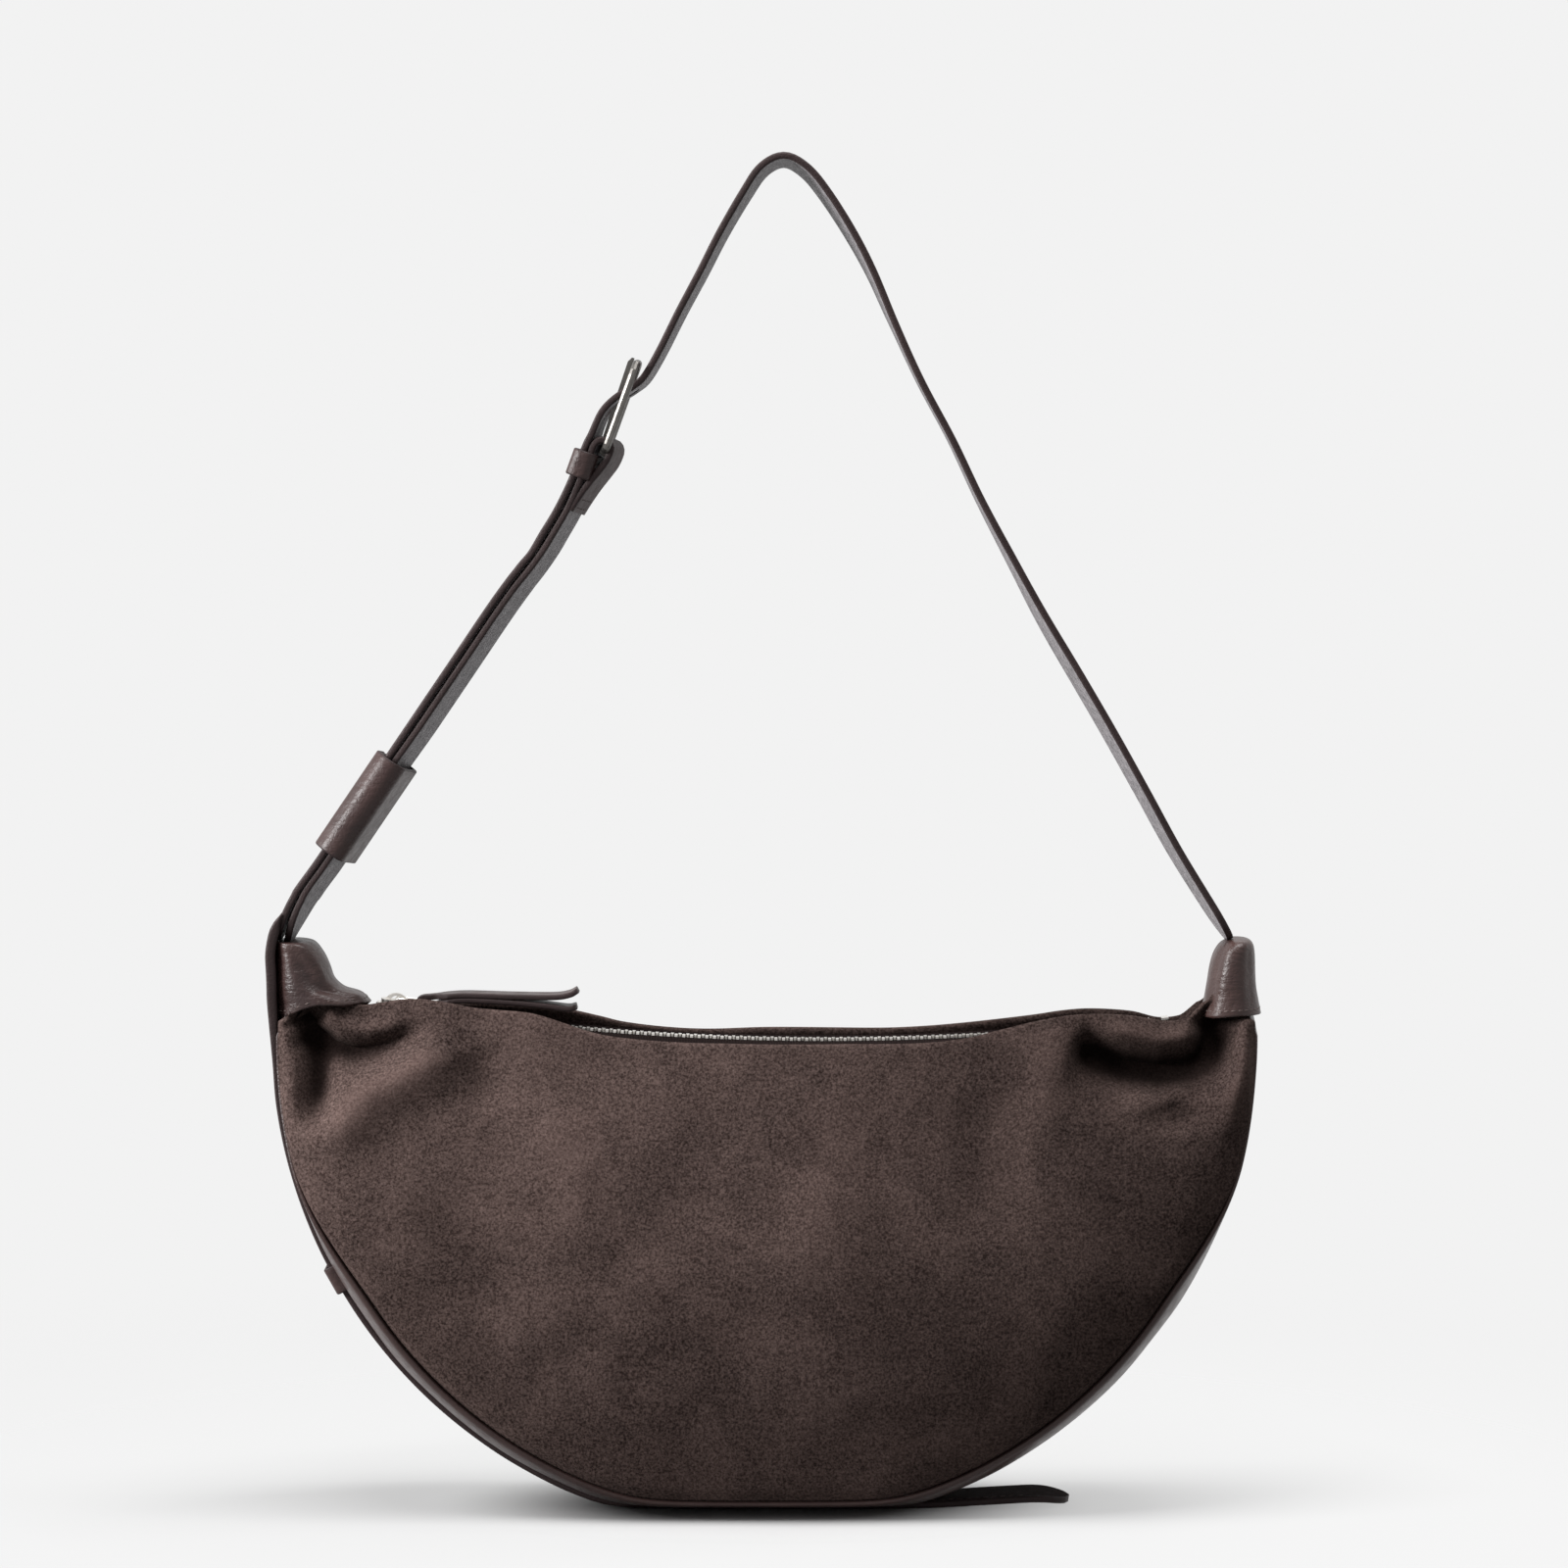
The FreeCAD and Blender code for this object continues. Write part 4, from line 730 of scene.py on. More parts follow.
nickel = nickel_material("Polished_Nickel", linear(102, 99, 96), 0.34)
zip_nickel = nickel_material("Zip_Nickel", linear(240, 236, 230), 0.24)
for metal, metal_nodes in ((zip_nickel, ZIP_METAL_NODES), (nickel, BUCKLE_METAL_NODES)):
    for name in metal_nodes:
        nodes[name].data.materials.clear()
        nodes[name].data.materials.append(metal)

thread, tt, thread_shader = fresh_material("Sewing_Thread")
twist = ramp(tt, noise_at(tt, object_spot(tt), TWIST_SCALE, 2.0), 0.35, 0.65,
             linear(58, 47, 45), linear(88, 74, 70))
tt.links.new(twist, thread_shader.inputs["Base Color"])
set_inputs(thread_shader, Roughness=0.8)
print("metal on", len(ZIP_METAL_NODES) + len(BUCKLE_METAL_NODES), "CAD pieces, and a thread")

# %% [markdown]
# ## The two suede panels
# Each panel is a grid with one edge along the gusset's seam and the other
# along the lip. Between them it swells out, fullest low down where the bag's
# load sits, and the folds are pressed into it. At its two sides it keeps to
# the gusset that it is sewn to, and it narrows where it goes into a cap.

# %% Where a panel's points go
SWELL_CURVE = Route(in_plane([(0.0, 0.0), (0.05, 0.27), (0.13, 0.56), (0.25, 0.86), (0.40, 1.0), (0.55, 0.95),
                              (0.70, 0.72), (0.84, 0.40), (0.94, 0.15), (1.0, 0.0)]), 10)
SWELL, SWELL_AT_SIDES_SHARE, SWELL_POWER, HEIGHT_POWER = 18.0, 0.18, 2.5, 1.15
PANEL_REACH_SHARE, LINING_REACH_SHARE = 0.965, 0.86
WIDER_SIDE, WIDER_FROM_ANGLE, WIDER_SPAN = 1.1, 1.1, 0.3
CAP_INSIDE_Z, CAP_INSIDE_SPAN = 170.2, 3.6
GATHER_SHARE, GATHER_FROM_X, TUCK, TUCK_FROM_X, TUCK_SPAN = 0.24, 150.0, 1.4, 148.0, 8.0
SEAM_HOLD_SHARE, LIP_HOLD_SHARE, LIP_FREE_SHARE = 0.10, 0.05, 0.25
SIDE_START_SHARE = 0.90
SOFT_WAVE, SOFT_SCALE_X, SOFT_SCALE_Z, SOFT_SEED = 1.6, 0.018, 0.022, 4.0
SMALL_WAVE, SMALL_SCALE, SMALL_SEED, WAVE_FROM_SHARE = 0.45, 0.06, 9.0, 0.2
EDGE_ROLL, EDGE_ROLL_SHARE, LEAST_Y, TAPE_ROOM = 1.6, 0.03, 2.4, 3.4


def panel_point(u, v, side, top_at, folds, inset=0.0, reach=PANEL_REACH_SHARE):
    """A point of a panel and its fold depth: u runs along the seam, v from it up to the lip."""
    angle = (2 * u - 1) * math.pi / 2 * reach
    low = outline(angle, seam_inset(angle), SEAM_LIFT + inset)
    wider = 0.0 if inset else WIDER_SIDE * ease((abs(angle) - WIDER_FROM_ANGLE) / WIDER_SPAN)
    x = low.x + math.copysign(wider, angle)
    height = v ** HEIGHT_POWER
    z = low.z + (top_at(x) - low.z) * height

    seam_y = half_depth(low.z)
    along_share = abs(x) / (HALF_LENGTH - SEAM_INSET)
    fullness = SWELL_AT_SIDES_SHARE + (1 - SWELL_AT_SIDES_SHARE) * (1 - along_share ** SWELL_POWER)
    y = seam_y + (LIP_HALF_GAP - seam_y) * height + SWELL * fullness * SWELL_CURVE.z_at(height)

    in_cap = ease((z - CAP_INSIDE_Z) / CAP_INSIDE_SPAN)
    x = math.copysign(abs(x) - GATHER_SHARE * in_cap * max(0.0, abs(x) - GATHER_FROM_X), x)
    y -= TUCK * in_cap * ease((abs(x) - TUCK_FROM_X) / TUCK_SPAN)

    held = ease(height / SEAM_HOLD_SHARE) * ease((1 - height) / LIP_HOLD_SHARE + LIP_FREE_SHARE)
    sink, drop = [value * held for value in fold_sink(folds, x, z)]
    z -= drop
    waves = ease(height / WAVE_FROM_SHARE)
    soft = noise.noise(Vector((x * SOFT_SCALE_X, z * SOFT_SCALE_Z, SOFT_SEED * side))) * SOFT_WAVE * waves
    small = noise.noise(Vector((x * SMALL_SCALE, z * SMALL_SCALE, SMALL_SEED * side))) * SMALL_WAVE * waves
    room = max(y - TAPE_ROOM, 0.5)
    y = y - room * (1 - math.exp(-max(sink, 0.0) / room)) - min(sink, 0.0)

    at_side = ease((abs(2 * u - 1) - SIDE_START_SHARE) / (1 - SIDE_START_SHARE))
    y += (half_depth(z) - y) * at_side + (soft + small) * (1 - at_side)
    y -= EDGE_ROLL * (1 - ease(height / EDGE_ROLL_SHARE)) + inset
    return Vector((x, side * max(y, LEAST_Y), z)), sink


belly = panel_point(0.5, 0.5, -1, FRONT_LIP.z_at, FRONT_FOLDS)[0]
print("middle of the front's belly", [round(c) for c in belly])

# %% [markdown]
# The folds are narrow next to the panel, so the grid is fine. Its points
# store how deep they lie, as a share of a deep fold, for the suede's painted
# shade and painted light to read. The sheet gets its thickness inwards, where the lining hides it.

# %% Panels
DEEP_FOLD, SUEDE_THICK = 16.0, 1.6
PANEL_COLUMNS, PANEL_ROWS = ((240, 110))


def make_panel(name, side, lip, folds, stands_for):
    """One suede panel, at the front where side is -1 and at the back where it is 1."""
    sinks = []

    def place(u, v):
        point, sink = panel_point(u, v, side, lip.z_at, folds)
        sinks.append(sink)
        return point

    bm = carried_grid(PANEL_COLUMNS, PANEL_ROWS, place)
    depth = bm.verts.layers.float.new("Fold_Depth")
    for vert, sink in zip(bm.verts, sinks):
        vert[depth] = sink / DEEP_FOLD
    if side > 0:
        bmesh.ops.reverse_faces(bm, faces=bm.faces)
    piece = finish_piece(name, bm, [suede], "bag", (stands_for,))
    add_thickness(piece, SUEDE_THICK)
    return piece


front_suede = make_panel("Front_Suede", -1, FRONT_LIP, FRONT_FOLDS, "front_panel")
back_suede = make_panel("Back_Suede", 1, BACK_LIP, BACK_FOLDS, "back_panel")
print("panels", len(front_suede.data.polygons), len(back_suede.data.polygons))

# %% [markdown]
# ## Gusset and linings
# The gusset is one long strip of smooth leather round the belly, a little
# crowned because the filling pushes it out. At both ends it runs on up inside
# the caps as a narrower tongue. Its cloth lining is the same strip, set in.

# %% Gusset
TONGUE_SHARE, TONGUE_RISE = 0.05, 20.0
MIDDLE_TUCK, EDGE_TUCK, TUCK_RATE = 1.8, 3.6, 2.2
SIDE_TUCK, SIDE_TUCK_RATE = 3.0, 1.6
CROWN_POWER, RIPPLE, RIPPLE_ALONG, RIPPLE_ACROSS, RIPPLE_SEED, RIPPLE_FULL_X = 0.8, 0.5, 26.0, 1.2, 2.0, 60.0
STRIP_COLUMNS, STRIP_ROWS = 200, 24


def gusset_point(u, v, inset, spread):
    """A point of the strip: u runs round the belly, and at both ends on up inside the caps."""
    inner = max(-1.0, min(1.0, (2 * u - 1) / (1 - TONGUE_SHARE)))
    beyond = max(0.0, (abs(2 * u - 1) - (1 - TONGUE_SHARE)) / TONGUE_SHARE)
    angle = inner * math.pi / 2
    across = 2 * v - 1
    tuck = math.copysign(ease(beyond * TUCK_RATE), angle)
    rise = TONGUE_RISE * beyond
    middle = outline(angle, inset, inset) + Vector((-MIDDLE_TUCK * tuck, 0.0, rise))
    edge = outline(angle, seam_inset(angle) + inset, SEAM_LIFT + inset)
    edge += Vector((-EDGE_TUCK * tuck, 0.0, rise))
    half_wide = half_depth(edge.z) - spread - SIDE_TUCK * ease(beyond * SIDE_TUCK_RATE)
    crown = 1 - across ** 2
    point = edge + (middle - edge) * crown ** CROWN_POWER
    ripple = noise.noise(Vector((u * RIPPLE_ALONG, across * RIPPLE_ACROSS, RIPPLE_SEED))) * RIPPLE * crown
    ripple *= ease(abs(point.x) / RIPPLE_FULL_X)
    inward = Vector((-math.sin(angle), 0.0, math.cos(angle)))
    return point + inward * ripple + Vector((0.0, half_wide * across, 0.0))


def make_strip(name, material, inset, spread, stands_for, thickness):
    """A strip round the belly, set in from the outline and from the panels' seams."""
    bm = carried_grid(STRIP_COLUMNS, STRIP_ROWS, lambda u, v: gusset_point(u, v, inset, spread))
    piece = finish_piece(name, bm, [material], "bag", stands_for)
    add_thickness(piece, thickness)


make_strip("Gusset_Leather_Strip", gusset_leather, 0.0, 1.0, ("gusset",), 1.5)
make_strip("Gusset_Lining_Cloth", lining_cloth, 2.2, 6.0, ("gusset_lining",), 0.6)
print("the gusset's tongues go up to", round(gusset_point(0, 0.5, 0, 1)[2]), "mm")

# %% [markdown]
# The linings follow the panels on the inside, folds and all, because a lining
# is cut from the panel's own pattern. They end just under the zip.

# %% Linings behind the panels
LINING_INSET, LINING_THICK, LINING_DROP = 3.4, 0.5, 2.6
LINING_COLUMNS, LINING_ROWS = 90, 40


def make_lining(name, side, lip, folds, stands_for):
    """The cloth inside one panel."""
    def top_at(x):
        return min(lip.z_at(x), zip_z(x)) - LINING_DROP

    def place(u, v):
        return panel_point(u, v, side, top_at, folds, LINING_INSET, LINING_REACH_SHARE)[0]

    bm = carried_grid(LINING_COLUMNS, LINING_ROWS, place)
    piece = finish_piece(name, bm, [lining_cloth], "bag", (stands_for,))
    add_thickness(piece, LINING_THICK)


make_lining("Front_Lining_Cloth", -1, FRONT_LIP, FRONT_FOLDS, "front_lining")
make_lining("Back_Lining_Cloth", 1, BACK_LIP, BACK_FOLDS, "back_lining")
print("linings", LINING_INSET, "mm inside the panels")

# %% [markdown]
# ## Zip tapes
# The woven tapes run from the teeth out to the panels, where they turn up
# behind the lip that they are sewn to.

# %% Tapes
ZIP_LEFT_X, ZIP_RIGHT_X = -136.0, 140.0
TAPE_INNER_Y, TAPE_OUTER_Y, TAPE_THICK = 1.8, 8.0, 0.6
TAPE_BELOW_LIP, TAPE_RISE, TAPE_FLAT_SHARE = 1.4, 1.0, 0.3
TAPE_COLUMNS, TAPE_ROWS = 140, 6


def make_tape(name, side, lip, stands_for):
    """One tape: it lies flat beside the teeth, and then rises or sinks to its lip."""
    def place(u, v):
        x = ZIP_LEFT_X + (ZIP_RIGHT_X - ZIP_LEFT_X) * u
        y = TAPE_INNER_Y + (TAPE_OUTER_Y - TAPE_INNER_Y) * v
        flat_z = zip_z(x)
        outer_z = min(lip.z_at(x) - TAPE_BELOW_LIP, flat_z + TAPE_RISE)
        turned = ease((v - TAPE_FLAT_SHARE) / (1 - TAPE_FLAT_SHARE))
        return Vector((x, side * y, flat_z + (outer_z - flat_z) * turned))

    bm = carried_grid(TAPE_COLUMNS, TAPE_ROWS, place)
    piece = finish_piece(name, bm, [tape_cloth], "bag", (stands_for,))
    add_thickness(piece, TAPE_THICK, 0.0)


make_tape("Front_Tape_Cloth", -1, FRONT_LIP, "front_zip_tape")
make_tape("Back_Tape_Cloth", 1, BACK_LIP, "back_zip_tape")
print("tapes", ZIP_RIGHT_X - ZIP_LEFT_X, "mm long")

# %% [markdown]
# ## Straps
# A strap is a rounded flat section carried along a route. The section turns a
# little about the route as it goes, as a real strap does, so that a sliver of
# its inner face shows from the front. Its cut edges are painted darker.

# %% A band along a route
ACROSS = Vector((0.0, 1.0, 0.0))
QUARTERS = ((1, 1), (-1, 1), (-1, -1), (1, -1))
CORNER_STEPS, CORNER_SHARE, FLAT_SHARES = 3, 0.32, (0.8, 0.0, -0.8)


def flat_section(width, thick, corner):
    """A rounded flat outline as (across, outward) pairs, with a few points on its two flats."""
    half_a, half_b = width / 2 - corner, thick / 2 - corner
    points = []
    for quarter, (a, b) in enumerate(QUARTERS):
        for step in range(CORNER_STEPS + 1):
            angle = (quarter + step / CORNER_STEPS) * math.pi / 2
            points.append((a * half_a + corner * math.cos(angle), b * half_b + corner * math.sin(angle)))
        if quarter in (0, 2):
            points += [(a * half_a * share, b * thick / 2) for share in FLAT_SHARES]
    return points


def turned_across(route, length, twist):
    """The across direction of a strap that is turned by a twist about its route."""
    inward = route.at(length)[1].cross(ACROSS).normalized()
    return ACROSS * math.cos(math.radians(twist)) + inward * math.sin(math.radians(twist))


def make_band(route, width, thick, across_at, steps, width_at, thick_at=None):
    """A band along a route: its section lies across and through it at every step."""
    section = flat_section(width, thick, thick * CORNER_SHARE)
    count = len(section)

    def place(u, v):
        across, outward = section[round(u * count) % count]
        length = route.total * v
        spot, along = route.at(length)
        side = across_at(length)
        inward = along.cross(side).normalized()
        depth = thick_at(length) if thick_at else 1.0
        return spot + side * (across * width_at(length)) + inward * (outward * depth)

    return closed_tube(count, steps, place)


print("a strap's section has", len(flat_section(24, 2.4, 0.6)), "points")

# %% [markdown]
# A strap's outside, its flesh side and its cut edges have different looks. A
# face belongs to one of them by where it lies on the section, which its UV map
# tells. Holes are punched by taking round-ended bars out of the band.

# %% Painted edges and punched holes
TEST_THICK, TEST_CORNER, LEVEL_WITHIN, LEAST_FLAT = 2.0, 0.6, 0.01, 0.5
BAR_SIDES, NEAR_MIDDLE = 24, 1e-6


def paint_faces(piece, width, edge_index, flesh_index=None, flesh_side=1):
    """Gives the cut edges, and if asked the flesh face, a material of their own."""
    uv = piece.data.uv_layers[0].data
    section = flat_section(width, TEST_THICK, TEST_CORNER)
    count = len(section)
    for face in piece.data.polygons:
        us = [uv[i].uv[0] for i in face.loop_indices]
        index = int((sum(us) / len(us)) * count) % count
        (a0, b0), (a1, b1) = section[index], section[(index + 1) % count]
        flat = abs(b0 - b1) < LEVEL_WITHIN and abs(a0 - a1) > LEAST_FLAT
        if not flat:
            face.material_index = edge_index
        elif flesh_index is not None and b0 * flesh_side > 0:
            face.material_index = flesh_index


def cut_with(piece, bars):
    """Cuts round-ended bars: (middle, (across, along, through), half length, width, depth) each."""
    bm = bmesh.new()
    for middle, axes, half_long, half_wide, half_deep in bars:
        made = bmesh.ops.create_cone(bm, cap_ends=True, segments=BAR_SIDES, radius1=half_wide * MM,
                                     radius2=half_wide * MM, depth=2 * half_deep * MM)
        turn = Matrix(axes).transposed().to_4x4()
        stretch = (half_long - half_wide) * MM
        for vert in made["verts"]:
            vert.co.y += stretch if vert.co.y > NEAR_MIDDLE else -stretch
            vert.co = middle * MM + turn @ vert.co
    bmesh.ops.recalc_face_normals(bm, faces=bm.faces)
    mesh = bpy.data.meshes.new("cutter")
    bm.to_mesh(mesh)
    bm.free()
    cutter = bpy.data.objects.new("cutter", mesh)
    bpy.context.scene.collection.objects.link(cutter)
    boolean = piece.modifiers.new("Holes", "BOOLEAN")
    boolean.operation = "DIFFERENCE"
    boolean.solver = "EXACT"
    boolean.object = cutter
    graph = bpy.context.evaluated_depsgraph_get()
    holed = bpy.data.meshes.new_from_object(piece.evaluated_get(graph))
    piece.modifiers.remove(boolean)
    piece.data = holed
    bpy.data.objects.remove(cutter)


print("a bar to punch with has", BAR_SIDES, "sides")

# %% [markdown]
# The long strap starts at the right cap, goes over the top, crosses the
# buckle's frame, and runs down to the left cap outside the short strap. The
# points are read off the photograph, and those at the buckle are given by
# its own lean, along it and out from it.

# %% The long strap's route
BUCKLE_LEAN = math.radians(70.0)
BUCKLE_UP = Vector((math.cos(BUCKLE_LEAN), 0.0, math.sin(BUCKLE_LEAN)))
BUCKLE_OUT = Vector((-BUCKLE_UP.z, 0.0, BUCKLE_UP.x))
HEEL = Vector((-55.4, 0.0, 367.9))


def at_buckle(along, outward):
    """A place given along the buckle and out from it, from the middle of its heel bar."""
    return HEEL + BUCKLE_UP * along + BUCKLE_OUT * outward


RIGHT_ARCH = [(160.9, 198), (154.7, 207.7), (142, 228.1), (130.7, 248.5), (119.3, 268.9),
              (107.4, 289.3), (95.4, 309.7), (84.5, 330.1), (73.8, 350.5), (64.1, 370.9),
              (53.2, 391.3), (43.7, 411.7), (36.2, 428.7), (28.9, 442.3), (20.1, 455.9),
              (13.2, 464.0), (6.0, 467.6)]
LEFT_ARCH = [(-1.2, 464.2), (-7.1, 455.9), (-15.1, 442.3), (-22.1, 428.7), (-29.4, 415.1), (-36, 402)]
BUCKLE_CROSS = [(28, -4.6), (23, -1.8), (18, 2), (13, 4.5), (8, 5.3), (-2, 5.4), (-10, 5.6)]
BELOW_BUCKLE = [(-67.1, 353.3), (-71.1, 345.4), (-75.6, 338), (-79.6, 331.2), (-83.9, 326)]
RUN_TOP, RUN_LOW, RUN_STEPS = Vector((-92.4, 0, 314.5)), Vector((-153.4, 0, 224.7)), 5
FOOT = [(-161.6, 213.4), (-167.4, 203.4), (-169.8, 198.0)]
crossing = [at_buckle(*pair) for pair in BUCKLE_CROSS]
straight_run = [RUN_TOP.lerp(RUN_LOW, step / RUN_STEPS) for step in range(RUN_STEPS + 1)]
ARCH = Route(in_plane(RIGHT_ARCH + LEFT_ARCH) + crossing + in_plane(BELOW_BUCKLE) + straight_run
             + in_plane(FOOT))
RUN_TOP_LENGTH, RUN_LOW_LENGTH = ARCH.length_near(RUN_TOP), ARCH.length_near(RUN_LOW)
HEEL_LENGTH = ARCH.length_near(crossing[-1])
print("strap length", round(ARCH.total), "mm")

# %% [markdown]
# The strap is turned a few degrees about its own line, more at the buckle and
# in the doubled run and less over the top. Its ends are rounded about the
# swing axes, so that they can turn inside the caps.

# %% The long strap
STRAP_WIDTH, STRAP_THICK, LAYER_PITCH = 24.0, 2.4, 2.6
STRAP_STEPS = 420
END_RADIUS, LEAST_END_SHARE = 12.0, 0.12
SPARE_HOLES, HOLE_PITCH, HOLE_HALF_LONG, HOLE_HALF_WIDE, HOLE_HALF_DEEP = 5, 26.0, 1.8, 1.85, 3.0
PRONG_SLOT_PLACE, PRONG_SLOT_HALF_LONG, PRONG_SLOT_HALF_DEEP = (18, 2), 7.5, 4.0
# Pairs of a length along the strap and the degrees that it is turned there
TWISTS = Route(in_plane([
    (0, 4.5), (30, 6.5), (110, 7.0), (150, 3.5), (185, 1.2), (230, 1.0), (256, 3.0), (280, 5.5), (312, 6.5),
    (350, 5.0), (HEEL_LENGTH - 22, 4.0), (HEEL_LENGTH - 6, 8.5), (RUN_TOP_LENGTH - 14, 10.0),
    (RUN_TOP_LENGTH, 10.5), (RUN_LOW_LENGTH, 10.5), (ARCH.total - 16, 8.5), (ARCH.total, 2.0)]), 8)


def arch_across(length):
    """The long strap's across direction at a length along it."""
    return turned_across(ARCH, length, TWISTS.z_at(length))


def round_end(from_end):
    """The share of a strap's width left at a distance from an end that is rounded."""
    if from_end >= END_RADIUS:
        return 1.0
    return max(LEAST_END_SHARE, math.sqrt(1 - (1 - from_end / END_RADIUS) ** 2))


def punch(length, half_long, half_deep):
    """The bar that punches a hole in the long strap at a length along it."""
    spot, along = ARCH.at(length)
    side = arch_across(length)
    return spot, (side, along, along.cross(side)), half_long, HOLE_HALF_WIDE, half_deep


bm = make_band(ARCH, STRAP_WIDTH, STRAP_THICK, arch_across, STRAP_STEPS,
               lambda length: round_end(min(length, ARCH.total - length)))
strap_piece = finish_piece("Strap_Leather_Band", bm, [strap_leather, edge_paint, strap_inside],
                           "strap", ("strap_arch",))
paint_faces(strap_piece, STRAP_WIDTH, 1, 2)
holes = [punch(RUN_TOP_LENGTH + HOLE_PITCH * index, HOLE_HALF_LONG, HOLE_HALF_DEEP)
         for index in range(SPARE_HOLES)]
prong_length = ARCH.length_near(at_buckle(*PRONG_SLOT_PLACE))
holes.append(punch(prong_length, PRONG_SLOT_HALF_LONG, PRONG_SLOT_HALF_DEEP))
cut_with(strap_piece, holes)
print("strap", len(strap_piece.data.polygons))

# %% [markdown]
# The short strap starts at the left cap, lies inside the long one up to the
# buckle, folds round the heel bar and comes back a little way. The bar and
# the prong stand in a slot cut through the fold.

# %% The short strap
SHORT_STEPS, BEFORE_HEEL, AT_HEEL = 26, 1.0, 7.0
FOOT_GAP, FOOT_GAP_SPAN = 1.0, 24.0
RUN_GAP, RUN_GAP_FROM_LOW, RUN_GAP_SPAN, HEEL_GAP_SPAN = 0.4, 40.0, 20.0, 16.0
FOLD = [(-3.2, 2.9), (0, 2.85), (2.4, 1.6), (3.0, -1.2), (1.0, -3.2)]
FOLD_TURN_LENGTH = 14.0
RETURN_LEG = [(-53.6, 363.6), (-56.2, 360.0), (-60.0, 355.3), (-63.2, 350.8), (-66.0, 346.4)]
FOLD_SLOT_PLACE, FOLD_SLOT_SIZE = (0.0, -1.0), (7.6, 1.9, 6.5)
under_strap = []
for index in range(SHORT_STEPS + 1):
    length = ARCH.total + (HEEL_LENGTH - BEFORE_HEEL - ARCH.total) * index / SHORT_STEPS
    spot, along = ARCH.at(length)
    inward = along.cross(ACROSS).normalized()
    foot_gap = FOOT_GAP * (1 - ease((ARCH.total - length) / FOOT_GAP_SPAN))
    above_low = ease((RUN_LOW_LENGTH - RUN_GAP_FROM_LOW - length) / RUN_GAP_SPAN)
    run_gap = RUN_GAP * above_low * ease((length - HEEL_LENGTH) / HEEL_GAP_SPAN)
    under_strap.append(spot + inward * (LAYER_PITCH + foot_gap + run_gap))
SHORT = Route(under_strap + [at_buckle(*pair) for pair in FOLD] + in_plane(RETURN_LEG))
FOLD_LENGTH = SHORT.length_near(at_buckle(*FOLD[0]))


def short_across(length):
    """The short strap turns with the long one, and keeps that turn round its fold."""
    past_fold = max(0.0, length - FOLD_LENGTH - FOLD_TURN_LENGTH)
    reach = HEEL_LENGTH - AT_HEEL + past_fold if length > FOLD_LENGTH else ARCH.total - length
    return arch_across(max(HEEL_LENGTH - AT_HEEL, min(ARCH.total, reach)))


bm = make_band(SHORT, STRAP_WIDTH, STRAP_THICK, short_across, STRAP_STEPS // 2, round_end)
short_piece = finish_piece("Short_Strap_Leather", bm, [strap_leather, edge_paint, strap_inside],
                           "strap", ("buckle_strap",))
paint_faces(short_piece, STRAP_WIDTH, 1, 2, -1)
cut_with(short_piece, [(at_buckle(*FOLD_SLOT_PLACE), (ACROSS, BUCKLE_UP, BUCKLE_OUT), *FOLD_SLOT_SIZE)])
print("short strap", round(SHORT.total), "mm")

# %% [markdown]
# ## Leather loops
# A keeper is a strip of leather closed on itself round the strap. The sleeve
# is a longer one whose end overlaps its start, which shows as a raised edge.
# A loop is a small flat section carried round a rounded rectangle.

# %% Loops on the strap
LOOP_STEPS, LOOP_CORNER_SHARE, LAP_START_SHARE, LAP_SPAN, LAP_RISE = 120, 0.4, 0.96, 0.06, 1.02
SLEEVE_SIZE, SLEEVE_FROM_LOW, SLEEVE_INWARD = (39.0, 12.5, 3.9, 1.5), 4.5, 0.5
SLEEVE_CORNER, KEEPER_CORNER, SLEEVE_LAP, SLEEVE_LAP_AT = 3.6, 2.4, 0.13, 0.60
KEEPER_SIZE, KEEPER_PLACE, KEEPER_TURN_FROM_HEEL = (9.4, 12.7, 3.1, 1.4), (-7.5, 4.3155), 2.0


def loop_path(share, half_wide, half_high, corner):
    """A point and an outward direction on a rounded rectangle, at a share of its turn."""
    flat_wide, flat_high = half_wide - corner, half_high - corner
    arc = corner * math.pi / 2
    rest = (share % 1.0) * 4 * (flat_wide + flat_high + arc)
    for turn, (a, b) in enumerate(QUARTERS):
        straight = 2 * (flat_wide if turn % 2 else flat_high)
        if rest <= straight + arc or turn == 3:
            break
        rest -= straight + arc
    angle = (turn + max(0.0, rest - straight) / arc) * math.pi / 2
    back = max(0.0, straight - rest)
    c, s = math.cos(angle), math.sin(angle)
    return (a * flat_wide + corner * c + back * s, b * flat_high + corner * s - back * c), (c, s)


def make_loop(name, origin, axes, size, body, node, corner, overlap=0.0, start=0.0):
    """A loop round an origin, with axes along, across and through it; with an overlap it is lapped.

    Its size is its length along, half its inside across and through, and its wall.
    """
    along, side, inward = axes
    length, half_wide, half_high, wall = size
    section = flat_section(length, wall, wall * LOOP_CORNER_SHARE)
    count = len(section)
    turns = 1.0 + overlap

    def place(u, v):
        reach, outward = section[round(u * count) % count]
        (a, b), (out_a, out_b) = loop_path(start + v * turns, half_wide, half_high, corner)
        over = wall * LAP_RISE * ease((v * turns - LAP_START_SHARE) / LAP_SPAN) if overlap else 0.0
        out = outward + wall / 2 + over
        return origin + along * reach + side * (a + out_a * out) + inward * (b + out_b * out)

    bm = closed_tube(count, LOOP_STEPS, place, ends=bool(overlap))
    piece = finish_piece(name, bm, [leather, edge_paint], body, (node,))
    paint_faces(piece, length, 1)


